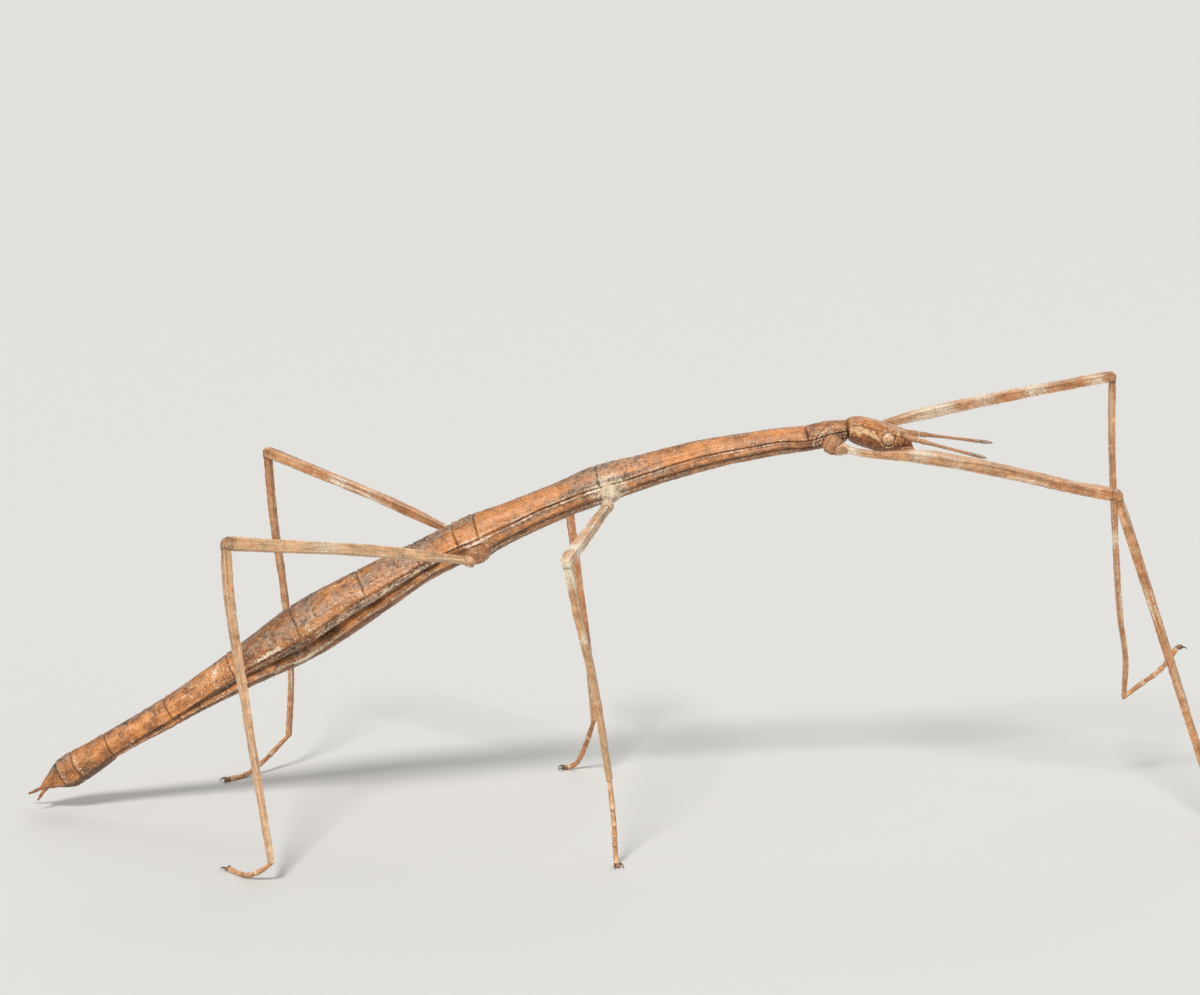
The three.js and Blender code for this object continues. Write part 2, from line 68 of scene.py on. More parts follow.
def between(value, low, high, soft):
    return ramp(value, low - soft, low + soft) * (1 - ramp(value, high - soft, high + soft))


print("one millimetre is", MM, "m")

# %% [markdown]
# ## Noise for the mesh
# No two patches of a grown shell are the same. A lattice of fixed pseudo-random values, blended
# smoothly, gives unevenness that is the same on every run, and numpy works it out for a whole
# mesh at once.

# %% Lattice noise
LATTICE_STRIDES = np.array([73856093, 19349663, 83492791])


def lattice_value(cell):
    key = (cell * LATTICE_STRIDES).sum(axis=-1)
    key = (key ^ (key >> 13)) * 1274126177
    key = (key ^ (key >> 16)) & 0xFFFF
    return key / 32767.5 - 1


def unevenness(points, size, seed=0):
    """Smooth noise from -1 to 1 whose lumps are about `size` across."""
    place = points / size + 17.3 * seed
    cell = np.floor(place).astype(np.int64)
    blend = place - cell
    blend = blend * blend * (3 - 2 * blend)
    total = np.zeros(points.shape[:-1])
    for corner in np.ndindex(2, 2, 2):
        weight = np.prod(np.where(corner, blend, 1 - blend), axis=-1)
        total += weight * lattice_value(cell + np.array(corner))
    return total


print("noise at the origin:", round(float(unevenness(np.zeros((1, 3)), 1.0)[0]), 3))

# %% [markdown]
# ## Shells
# Every part of an insect is a closed, hardened tube. A shell here is a grid of points, ring by
# ring, with named marks at each point that the materials read later: where the shell is orange,
# pale, dark or dirty, and where shade is painted on it. `lie` holds the same points as if the tube
# were straight, so that a pattern can run along a bent leg.

# %% Turn shells into a mesh
MARKS = ("tone", "pale", "dark", "grime", "grain", "hair")
ROOT_PLACE = ("root_u", "root_v")


def shell(points, lie, **marks):
    blank = np.zeros(points.shape[:2])
    full = {name: np.clip(marks.get(name, 0) + blank, 0, 1) for name in MARKS}
    return {"points": points, "lie": lie, "marks": full}


def shell_faces(rings, sides, start):
    ring = np.arange(rings - 1)[:, None] * sides
    side = np.arange(sides)[None, :]
    following = (side + 1) % sides
    quads = np.stack([ring + side, ring + following, ring + sides + following, ring + sides + side], -1)
    first_pole = rings * sides
    last_ring = (rings - 1) * sides
    turn = np.arange(sides)
    step = (turn + 1) % sides
    front = np.stack([np.full(sides, first_pole), step, turn], -1)
    back = np.stack([np.full(sides, first_pole + 1), last_ring + turn, last_ring + step], -1)
    return [(block.reshape(-1, block.shape[-1]) + start).tolist() for block in (quads, front, back)]


def with_poles(grid):
    flat = grid.reshape(-1, *grid.shape[2:])
    return np.concatenate([flat, grid[:1].mean(axis=1), grid[-1:].mean(axis=1)])


def store_roots(mesh, roots):
    """The place of each point on an unwrap of the skin, which hairs and grains inherit."""
    for column, name in enumerate(ROOT_PLACE):
        mesh.attributes.new(name, "FLOAT", "POINT").data.foreach_set("value", roots[:, column])


def piece_from_shells(name, shells, material):
    """One mesh object of one or more closed shells, in metres and in the row's frame."""
    points, lies, faces = [], [], []
    marks = {mark: [] for mark in MARKS}
    roots = []
    start = 0
    for number, part in enumerate(shells):
        rings, sides = part["points"].shape[:2]
        across, along = np.meshgrid(np.linspace(0, 1, rings), np.linspace(0, 1, sides), indexing="ij")
        roots.append(with_poles(np.stack([across, (number + along) / len(shells)], axis=-1)))
        for block in shell_faces(rings, sides, start):
            faces += block
        points.append(with_poles(part["points"]))
        lies.append(with_poles(part["lie"]))
        for mark in MARKS:
            marks[mark].append(with_poles(part["marks"][mark]))
        start += rings * sides + 2
    mesh = bpy.data.meshes.new(name)
    mesh.from_pydata(((np.concatenate(points) + POSE_SHIFT) * MM).tolist(), [], faces)
    mesh.attributes.new("lie", "FLOAT_VECTOR", "POINT")
    mesh.attributes["lie"].data.foreach_set("vector", np.concatenate(lies).ravel())
    for mark in MARKS:
        mesh.attributes.new(mark, "FLOAT", "POINT")
        mesh.attributes[mark].data.foreach_set("value", np.concatenate(marks[mark]))
    store_roots(mesh, np.concatenate(roots))
    mesh.shade_smooth()
    mesh.materials.append(material)
    piece = bpy.data.objects.new(name, mesh)
    bpy.context.scene.collection.objects.link(piece)
    print(f"{name}: {sum(len(face) - 2 for face in faces)} triangles")
    return piece


# %% [markdown]
# ## Paint
# The shell is dry and semi-matt like old straw. Its colour is never even: fine
# streaks run along it, cream patches lie where the wax has flaked, and dust sits in the folds.
# Shade is painted into the creases and onto the undersides too.
# One node group, `Cuticle`, makes all of that from the marks on the mesh, and each material
# gives it its own colours. It hands back a colour, a roughness and a height.

# %% Node helpers
def paint(code):
    """A linear colour from a hexadecimal sRGB one."""
    parts = [int(code[i:i + 2], 16) / 255 for i in (0, 2, 4)]
    return (*[v / 12.92 if v <= 0.04045 else ((v + 0.055) / 1.055) ** 2.4 for v in parts], 1.0)


def add_node(tree, kind, inputs=None, **settings):
    """A node whose inputs are set to a value or linked to another node's output."""
    node = tree.nodes.new(kind)
    for key, value in settings.items():
        setattr(node, key, value)
    for key, value in (inputs or {}).items():
        if isinstance(value, bpy.types.NodeSocket):
            tree.links.new(value, node.inputs[key])
        else:
            node.inputs[key].default_value = value
    return node


def maths(tree, operation, first, second, clamp=False):
    node = add_node(tree, "ShaderNodeMath", {0: first, 1: second}, operation=operation, use_clamp=clamp)
    return node.outputs[0]


def blend_colour(tree, share, first, second, mode="MIX"):
    node = add_node(tree, "ShaderNodeMix", data_type="RGBA", blend_type=mode)
    for index, value in ((0, share), (6, first), (7, second)):
        if isinstance(value, bpy.types.NodeSocket):
            tree.links.new(value, node.inputs[index])
        else:
            node.inputs[index].default_value = value
    return node.outputs[2]


def rescale(tree, value, low, high, to_low, to_high, smooth=False):
    node = add_node(tree, "ShaderNodeMapRange", {
        "Value": value, "From Min": low, "From Max": high, "To Min": to_low, "To Max": to_high})
    node.interpolation_type = "SMOOTHSTEP" if smooth else "LINEAR"
    return node.outputs["Result"]


def noise(tree, vector, size, detail=3.0, rough=0.55):
    scale = maths(tree, "DIVIDE", 1.0, size)
    node = add_node(tree, "ShaderNodeTexNoise", {
        "Vector": vector, "Scale": scale, "Detail": detail, "Roughness": rough})
    return node.outputs["Fac"]


def new_group(name, inputs, outputs):
    tree = bpy.data.node_groups.new(name, "ShaderNodeTree")
    for socket, kind, value in inputs:
        made = tree.interface.new_socket(socket, in_out="INPUT", socket_type=kind)
        if value is not None:
            made.default_value = value
    for socket, kind in outputs:
        tree.interface.new_socket(socket, in_out="OUTPUT", socket_type=kind)
    return tree, add_node(tree, "NodeGroupInput").outputs, add_node(tree, "NodeGroupOutput").inputs


print("node helpers are ready")

# %% [markdown]
# ### Patches, flecks and streaks
# Three small groups are used by everything: `Patches` makes soft blotches whose share of the
# surface follows a mark, `Flecks` does the same with sharp specks, and `Streaks` makes fibres that
# run along the tube.

# %% Patches, flecks and streaks
def make_patches():
    tree, given, out = new_group("Patches", [
        ("Vector", "NodeSocketVector", None), ("Mark", "NodeSocketFloat", 0.0),
        ("Size", "NodeSocketFloat", 0.5), ("Ragged", "NodeSocketFloat", 1.5),
    ], [("Mask", "NodeSocketFloat")])
    blotch = noise(tree, given["Vector"], given["Size"], detail=5.0, rough=0.7)
    centred = maths(tree, "SUBTRACT", blotch, 0.5)
    swing = maths(tree, "MULTIPLY", centred, given["Ragged"])
    level = maths(tree, "ADD", given["Mark"], swing)
    tree.links.new(rescale(tree, level, 0.32, 0.7, 0.0, 1.0, smooth=True), out["Mask"])
    return tree


def make_flecks():
    tree, given, out = new_group("Flecks", [
        ("Vector", "NodeSocketVector", None), ("Mark", "NodeSocketFloat", 0.0),
        ("Size", "NodeSocketFloat", 0.15),
    ], [("Mask", "NodeSocketFloat")])
    grain = noise(tree, given["Vector"], given["Size"], detail=2.0, rough=0.6)
    level = maths(tree, "ADD", grain, maths(tree, "MULTIPLY", given["Mark"], 0.27))
    tree.links.new(rescale(tree, level, 0.63, 0.74, 0.0, 1.0, smooth=True), out["Mask"])
    return tree


def make_streaks():
    tree, given, out = new_group("Streaks", [
        ("Vector", "NodeSocketVector", None), ("Length", "NodeSocketFloat", 2.0),
        ("Width", "NodeSocketFloat", 0.12),
    ], [("Mask", "NodeSocketFloat")])
    squeeze = maths(tree, "DIVIDE", given["Width"], given["Length"])
    apart = add_node(tree, "ShaderNodeSeparateXYZ", {0: given["Vector"]})
    slow = maths(tree, "MULTIPLY", apart.outputs[0], squeeze)
    fibres = add_node(tree, "ShaderNodeCombineXYZ", {0: slow, 1: apart.outputs[1], 2: apart.outputs[2]})
    tree.links.new(noise(tree, fibres.outputs[0], given["Width"], detail=4.0, rough=0.6), out["Mask"])
    return tree


PATCHES = make_patches()
FLECKS = make_flecks()
STREAKS = make_streaks()
print("groups:", [group.name for group in bpy.data.node_groups])

# %% [markdown]
# ### The cuticle
# The back and belly colours blend by the `tone` mark, swayed by broad blotches. Fibres and grain
# vary them, then come the layers in the order in which they lie on the animal: cream flakes, a
# thin grey bloom, brown pits and dirt. Last the `dark` mark blends towards the fold colour: the
# dark of joints and grooves, and painted shade in the creases and on the undersides. Dirt is
# rough, bare cuticle shines.

# %% The cuticle group
def group_node(tree, group, inputs):
    return add_node(tree, "ShaderNodeGroup", inputs, node_tree=group).outputs


def moved(tree, vector, offset):
    return add_node(tree, "ShaderNodeVectorMath", {0: vector, 1: offset}).outputs[0]


def make_cuticle():
    tree, given, out = new_group("Cuticle", [
        ("Lie", "NodeSocketVector", None), ("Tone", "NodeSocketFloat", 1.0),
        ("Pale", "NodeSocketFloat", 0.0), ("Dark", "NodeSocketFloat", 0.0),
        ("Grime", "NodeSocketFloat", 0.0),
        ("Back", "NodeSocketColor", None), ("Belly", "NodeSocketColor", None),
        ("Cream", "NodeSocketColor", None), ("Bloom", "NodeSocketColor", None),
        ("Dust", "NodeSocketColor", None), ("Fold", "NodeSocketColor", None),
        ("Patch Size", "NodeSocketFloat", 0.5), ("Streak Length", "NodeSocketFloat", 3.0),
        ("Streak Width", "NodeSocketFloat", 0.1), ("Grain Size", "NodeSocketFloat", 0.12),
        ("Fibre", "NodeSocketFloat", 0.2), ("Dullness", "NodeSocketFloat", 0.4),
    ], [("Color", "NodeSocketColor"), ("Roughness", "NodeSocketFloat"), ("Height", "NodeSocketFloat")])
    lie = given["Lie"]
    grain_size = given["Grain Size"]
    blotch = noise(tree, lie, given["Patch Size"], detail=6.0, rough=0.65)
    broad = noise(tree, moved(tree, lie, (3.0, 19.0, 7.0)), maths(tree, "MULTIPLY", given["Patch Size"], 2.6))
    fine = noise(tree, lie, grain_size, detail=3.0, rough=0.7)
    streak = group_node(tree, STREAKS, {
        "Vector": lie, "Length": given["Streak Length"], "Width": given["Streak Width"]})[0]

    tone = maths(tree, "ADD", given["Tone"], rescale(tree, blotch, 0.3, 0.7, -0.75, 0.75), clamp=True)
    colour = blend_colour(tree, tone, given["Belly"], given["Back"])
    swing = maths(tree, "MULTIPLY", given["Fibre"], rescale(tree, streak, 0.3, 0.7, -1.0, 1.0))
    fibre = maths(tree, "ADD", swing, 1.0)
    shade = maths(tree, "MULTIPLY", fibre, rescale(tree, fine, 0.3, 0.7, 0.7, 1.24))
    shade = maths(tree, "MULTIPLY", shade, rescale(tree, broad, 0.32, 0.68, 0.72, 1.2))
    grey = add_node(tree, "ShaderNodeCombineColor", {0: shade, 1: shade, 2: shade}).outputs[0]
    colour = blend_colour(tree, 1.0, colour, grey, mode="MULTIPLY")

    flake = group_node(tree, PATCHES, {
        "Vector": lie, "Mark": given["Pale"], "Size": maths(tree, "MULTIPLY", given["Patch Size"], 0.5)})[0]
    fleck = group_node(tree, FLECKS, {
        "Vector": moved(tree, lie, (5.0, 11.0, 23.0)), "Mark": given["Pale"], "Size": grain_size})[0]
    cream = maths(tree, "ADD", maths(tree, "MULTIPLY", flake, 0.42), maths(tree, "MULTIPLY", fleck, 0.62),
                  clamp=True)
    colour = blend_colour(tree, cream, colour, given["Cream"])

    film = group_node(tree, PATCHES, {
        "Vector": moved(tree, lie, (17.0, 3.0, 9.0)), "Mark": given["Grime"], "Size": given["Patch Size"]})[0]
    film = maths(tree, "MULTIPLY", film, rescale(tree, fine, 0.35, 0.65, 0.9, 0.4))
    colour = blend_colour(tree, film, colour, given["Bloom"])
    pit = group_node(tree, FLECKS, {
        "Vector": moved(tree, lie, (41.0, 2.0, 13.0)), "Size": grain_size,
        "Mark": maths(tree, "SUBTRACT", given["Grime"], 0.3)})[0]
    colour = blend_colour(tree, maths(tree, "MULTIPLY", pit, 0.6), colour, given["Fold"])
    dirt = group_node(tree, PATCHES, {
        "Vector": moved(tree, lie, (31.0, 7.0, 3.0)), "Mark": maths(tree, "MULTIPLY", given["Grime"], 0.66),
        "Size": maths(tree, "MULTIPLY", given["Patch Size"], 0.6), "Ragged": 1.9})[0]
    colour = blend_colour(tree, maths(tree, "MULTIPLY", dirt, 0.78), colour, given["Dust"])
    # The dark mark: dark joints and grooves, and painted shade in creases and on undersides.
    deep = maths(tree, "MULTIPLY", given["Dark"], rescale(tree, fine, 0.3, 0.65, 1.0, 0.6), clamp=True)
    colour = blend_colour(tree, deep, colour, given["Fold"])
    tree.links.new(colour, out["Color"])

    rough = maths(tree, "ADD", given["Dullness"], rescale(tree, fine, 0.3, 0.7, -0.08, 0.1))
    rough = maths(tree, "ADD", rough, maths(tree, "MULTIPLY", dirt, 0.25))
    rough = maths(tree, "ADD", rough, maths(tree, "MULTIPLY", cream, 0.1), clamp=True)
    tree.links.new(rough, out["Roughness"])
    pits = add_node(tree, "ShaderNodeTexVoronoi", {
        "Vector": lie, "Scale": maths(tree, "DIVIDE", 1.0, grain_size)}, feature="SMOOTH_F1")
    height = rescale(tree, pits.outputs["Distance"], 0.0, 0.8, 0.5, 0.0)
    for part, amount in ((streak, 0.9), (fine, 0.9), (fleck, 0.35), (pit, -0.5)):
        height = maths(tree, "ADD", height, maths(tree, "MULTIPLY", part, amount))
    tree.links.new(height, out["Height"])
    return tree


CUTICLE = make_cuticle()
print("cuticle nodes:", len(CUTICLE.nodes))

# %% [markdown]
# ### The materials
# The Principled shader stays in each material. A little subsurface light would soften the thin
# shell, but coat and sheen would look like lacquer or felt, so only roughness and bump are used.

# %% The materials
def mark_output(tree, name):
    node = add_node(tree, "ShaderNodeAttribute", attribute_name=name, attribute_type="GEOMETRY")
    return node.outputs["Vector"] if name == "lie" else node.outputs["Fac"]


def cuticle_material(name, colours, depth, **sizes):
    """A hardened skin; `depth` is the height of its relief in millimetres."""
    material = bpy.data.materials.new(name)
    material.use_nodes = True
    tree = material.node_tree
    marks = {mark.capitalize(): mark_output(tree, mark) for mark in ("lie", "tone", "pale", "dark", "grime")}
    paints = {place.capitalize(): paint(code) for place, code in colours.items()}
    skin = group_node(tree, CUTICLE, {**marks, **paints, **sizes})
    bump = add_node(tree, "ShaderNodeBump", {
        "Height": skin["Height"], "Distance": depth * MM, "Strength": 1.0})
    surface = tree.nodes["Principled BSDF"]
    surface.inputs["IOR"].default_value = 1.5
    tree.links.new(skin["Color"], surface.inputs["Base Color"])
    tree.links.new(skin["Roughness"], surface.inputs["Roughness"])
    tree.links.new(bump.outputs[0], surface.inputs["Normal"])
    return material


# The body's fold colour is the dark of pits and joints and the painted shade in the trunk's creases and on
# its underside.
BODY_SHELL = cuticle_material("body_shell", {
    "back": "d38c50", "belly": "86542f", "cream": "f6e6cc", "bloom": "b0957f", "dust": "4a4038",
    "fold": "22150d"}, 0.033, **{
    "Patch Size": 0.8, "Streak Length": 3.0, "Streak Width": 0.14, "Grain Size": 0.17, "Fibre": 0.2,
    "Dullness": 0.38})
# The head's fold colour is the dark of its grooves and the painted shade on its underside.
HEAD_SHELL = cuticle_material("head_shell", {
    "back": "bb7942", "belly": "7a411b", "cream": "efca9c", "bloom": "ad9076", "dust": "66503e",
    "fold": "2a170c"}, 0.025, **{
    "Patch Size": 0.35, "Streak Length": 1.2, "Streak Width": 0.11, "Grain Size": 0.12, "Fibre": 0.26,
    "Dullness": 0.27})
LEG_SHELL = cuticle_material("leg_shell", {
    "back": "bc7a47", "belly": "deb184", "cream": "f7ead2", "bloom": "ba9c80", "dust": "66503c",
    "fold": "4b2f1b"}, 0.022, **{
    "Patch Size": 0.6, "Streak Length": 7.0, "Streak Width": 0.11, "Grain Size": 0.1, "Fibre": 0.3,
    "Dullness": 0.42})
print("materials:", [material.name for material in bpy.data.materials])

# %% [markdown]
# ## The trunk's measure
# The trunk is a chain of rings that swells in the middle of the abdomen and narrows to the tail.
# It is one smooth tube whose sizes are listed at the borders between the segments, as in the CAD
# model. Two more columns say where, on each flank, the back plate ends and the deep pleat runs:
# angles that start at the top of the back and open towards each side.

# %% Trunk stations
TRUNK = np.array([
    # x, centre z, height, width, pinch at the pleat, plate edge, pleat
    [-52.80, 2.10, 0.45, 0.90, 0.00, 128, 150],
    [-50.70, 3.35, 2.70, 2.50, 0.00, 130, 150],
    [-49.20, 4.30, 2.95, 2.80, 0.00, 130, 148],
    [-46.10, 6.25, 2.50, 2.60, 0.08, 124, 134],
    [-40.30, 9.60, 2.80, 2.80, 0.16, 104, 117],
    [-34.10, 13.40, 3.75, 3.80, 0.20, 90, 112],
    [-27.65, 17.35, 5.35, 5.30, 0.24, 88, 119],
    [-21.55, 21.05, 4.65, 4.90, 0.24, 81, 114],
    [-16.65, 24.00, 3.80, 4.20, 0.18, 82, 112],
    [-13.10, 25.80, 3.90, 4.00, 0.10, 84, 108],
    [-11.10, 26.60, 4.10, 4.00, 0.05, 84, 106],
    [-7.50, 28.15, 3.55, 3.40, 0.06, 79, 97],
    [-2.80, 30.20, 3.40, 3.30, 0.06, 78, 96],
    [0.05, 31.35, 3.60, 3.60, 0.03, 84, 100],
    [3.20, 32.30, 3.25, 3.20, 0.05, 84, 97],
    [9.00, 33.95, 2.85, 2.80, 0.06, 79, 93],
    [15.90, 35.30, 2.40, 2.50, 0.05, 77, 92],
    [19.15, 35.70, 2.35, 2.40, 0.02, 84, 98],
    [21.10, 36.15, 2.35, 2.30, 0.02, 78, 98],
    [22.75, 36.50, 1.80, 1.90, 0.00, 78, 98],
])
Z, HEIGHT, WIDTH, PINCH, EDGE, PLEAT = range(1, 7)
BORDERS = np.array([-50.7, -49.2, -46.1, -40.3, -34.1, -27.65, -21.55, -16.65, -13.1, -11.1, 0.05, 19.15])


def size_at(stations, column, x):
    """One size at every x, as a smooth curve through the sizes listed at growing x."""
    places, sizes = stations[:, 0], stations[:, column]
    slopes = np.empty_like(sizes)
    slopes[1:-1] = (sizes[2:] - sizes[:-2]) / (places[2:] - places[:-2])
    slopes[[0, -1]] = (sizes[[1, -1]] - sizes[[0, -2]]) / (places[[1, -1]] - places[[0, -2]])
    bounded = np.clip(x, places[0], places[-1])
    i = np.clip(np.searchsorted(places, bounded) - 1, 0, len(places) - 2)
    span = places[i + 1] - places[i]
    t = (bounded - places[i]) / span
    start = (1 + 2 * t) * (1 - t) ** 2 * sizes[i] + t * (1 - t) ** 2 * span * slopes[i]
    end = t ** 2 * (3 - 2 * t) * sizes[i + 1] - t ** 2 * (1 - t) * span * slopes[i + 1]
    return start + end


def body_points(stations, x, angle, swell, proud, floor=None):
    """Points on the sections at x: `swell` scales them, `proud` lifts them in millimetres."""
    step = 0.2
    centre = size_at(stations, Z, x)
    slope = (size_at(stations, Z, x + step) - size_at(stations, Z, x - step)) / (2 * step)
    lean = np.hypot(1, slope)
    half_height = size_at(stations, HEIGHT, x) / 2
    rise = np.cos(angle) * (half_height * swell + proud)
    if floor is not None:
        rise = np.maximum(rise, -floor * half_height)
    aside = np.sin(angle) * (size_at(stations, WIDTH, x) / 2 * swell + proud)
    return np.stack([x - slope / lean * rise, -aside, centre + rise / lean], axis=-1)


def straight_points(stations, x, angle):
    """The same places on a straight, round tube: the `lie` of the patterns."""
    radius = size_at(stations, WIDTH, x) / 2
    return np.stack([x, radius * np.sin(angle), radius * np.cos(angle)], axis=-1)


print("trunk:", round(TRUNK[-1, 0] - TRUNK[0, 0], 1), "mm long")

# %% [markdown]
# ## The trunk's skin
# A real segment is a stiff plate whose rear rim overlaps the next one. Along each flank the back
# plate ends in a raised edge, with a soft wrinkled membrane under it and a narrow belly plate
# below. The skin is one tube of thousands of rings, closer together at the borders. Each relief
# is a soft line added in millimetres, so it is true geometry and shows in the outline too.

# %% Rings of the trunk
TRUNK_SIDES = 156
FLANK_PULL = 0.2  # how far the sides crowd towards the flanks, where the folds are
RING_STEP = 0.15
BORDER_STEP = 0.05
BORDER_REACH = 0.35


def ring_places(start, stop, borders, coarse, fine, reach):
    places = [start]
    while places[-1] < stop - fine:
        gap = np.abs(borders - places[-1]).min()
        places.append(places[-1] + fine + (coarse - fine) * ramp(gap, reach, 3 * reach))
    places.append(stop)
    return np.array(places)


CLOSE_RINGS = np.append(BORDERS, [20.4, 21.1, 21.8])  # at the borders and round the fore hips
TRUNK_RINGS = ring_places(TRUNK[0, 0], TRUNK[-1, 0], CLOSE_RINGS, RING_STEP, BORDER_STEP, BORDER_REACH)
print("trunk rings:", len(TRUNK_RINGS), "faces:", 2 * TRUNK_SIDES * len(TRUNK_RINGS))

# %% Where the trunk's parts are
COXAE = {
    "fore_right": (21.4, -1.55, 35.4), "fore_left": (21.4, 1.55, 35.4),
    "middle_right": (0.95, -1.9, 30.9), "middle_left": (0.95, 1.9, 30.9),
    "hind_right": (-11.2, -1.85, 25.2), "hind_left": (-11.2, 1.85, 25.2),
}
THORAX_START = -13.1
TAIL_PLATES = -46.1  # from here back, the plates close in over the scoop under the tail
TAIL_FLOOR = 0.55
HIP_RIMS = (1.12, 1.42, 1.75)  # the raised arcs round each hip, in mm from its middle


def distance_to(points, place):
    return np.linalg.norm(points - np.array(place), axis=-1)


def nearest_border(x):
    index = np.abs(x[..., None] - BORDERS).argmin(axis=-1)
    return x - BORDERS[index]


LOBE_X, LOBE_FLANK = -28.4, 124  # the middle of the swollen lobe, along the trunk and round it


def crumpled(x, flank, side):
    """The swollen lobe of soft membrane on one side, the notch ahead of it and the crust below."""
    near_side = side > 0
    lobe = near(x, LOBE_X, 1.5) * near(flank, LOBE_FLANK, 9) * near_side
    around = np.hypot((x - LOBE_X) / 2.2, (flank - LOBE_FLANK) / 14)
    rim = near(around, 1, 0.22) * (flank < LOBE_FLANK + 10)
    notch = np.maximum(near(x, -25.5, 0.8) * near(flank, 122, 8), 0.6 * rim) * near_side
    crust = near(x, -29.2, 2.2) * near(flank, 141, 8) * near_side
    return lobe, notch, crust


def trunk_relief(x, lie, flank, gap, side):
    """How far each point stands out from the plain tube, in millimetres, without the hip rims."""
    edge, pleat = size_at(TRUNK, EDGE, x), size_at(TRUNK, PLEAT, x)
    abdomen = 1 - ramp(x, THORAX_START - 1.5, THORAX_START + 1.5)
    tail = 1 - ramp(x, TAIL_PLATES - 1.0, TAIL_PLATES + 0.5)
    folds = 1 - tail
    plate = 1 - ramp(flank, edge - 2, edge + 6)
    membrane = between(flank, edge + 9, pleat - 3, 4) * abdomen * folds
    ragged = 0.6 + 0.5 * unevenness(lie, 0.8, 10)
    proud = 0.06 * near(flank, edge, 3.5) * folds
    proud -= 0.14 * near(flank, edge + 7, 4.0) * folds * (0.5 + 0.5 * (1 - abdomen)) * (0.6 + 0.6 * ragged)
    proud -= 0.10 * membrane * size_at(TRUNK, HEIGHT, x) / 5
    wrinkle = unevenness(lie * (0.25, 1, 1), 0.45, 6)
    proud += membrane * (0.07 * np.sin((flank - edge + 5 * ragged) * 0.6) + 0.13 * wrinkle)
    proud += 0.09 * near(flank, pleat + 14, 5) * folds
    proud -= 0.07 * near(flank, pleat + 27, 4) * folds
    proud += 0.05 * near(flank, 0, 5) * (1 - abdomen)
    proud -= 0.15 * near(gap, 0, 0.07) * (0.35 + 0.65 * plate) * (0.5 + 0.7 * ragged)
    proud += 0.03 * near(gap, 0.2, 0.16) * (0.4 + 0.6 * plate) * ragged
    proud += 0.05 * unevenness(lie, 2.3, 3)
    proud += 0.030 * unevenness(lie * (0.2, 1, 1), 0.28, 4)
    proud += 0.028 * unevenness(lie, 0.26, 5)
    proud += 0.09 * tail * unevenness(lie * (0.35, 1, 1), 0.45, 7) + 0.03 * tail * unevenness(lie, 0.3, 17)
    lobe, notch, crust = crumpled(x, flank, side)
    creased = between(x, -32, -21, 1.5) * near(flank, 122, 18) * (side > 0)
    proud += 0.12 * lobe - 0.26 * notch + 0.06 * creased * np.sin(0.55 * flank + 1.6 * x + 3 * ragged)
    return proud + crust * (0.12 * unevenness(lie, 0.4, 8) + 0.03)


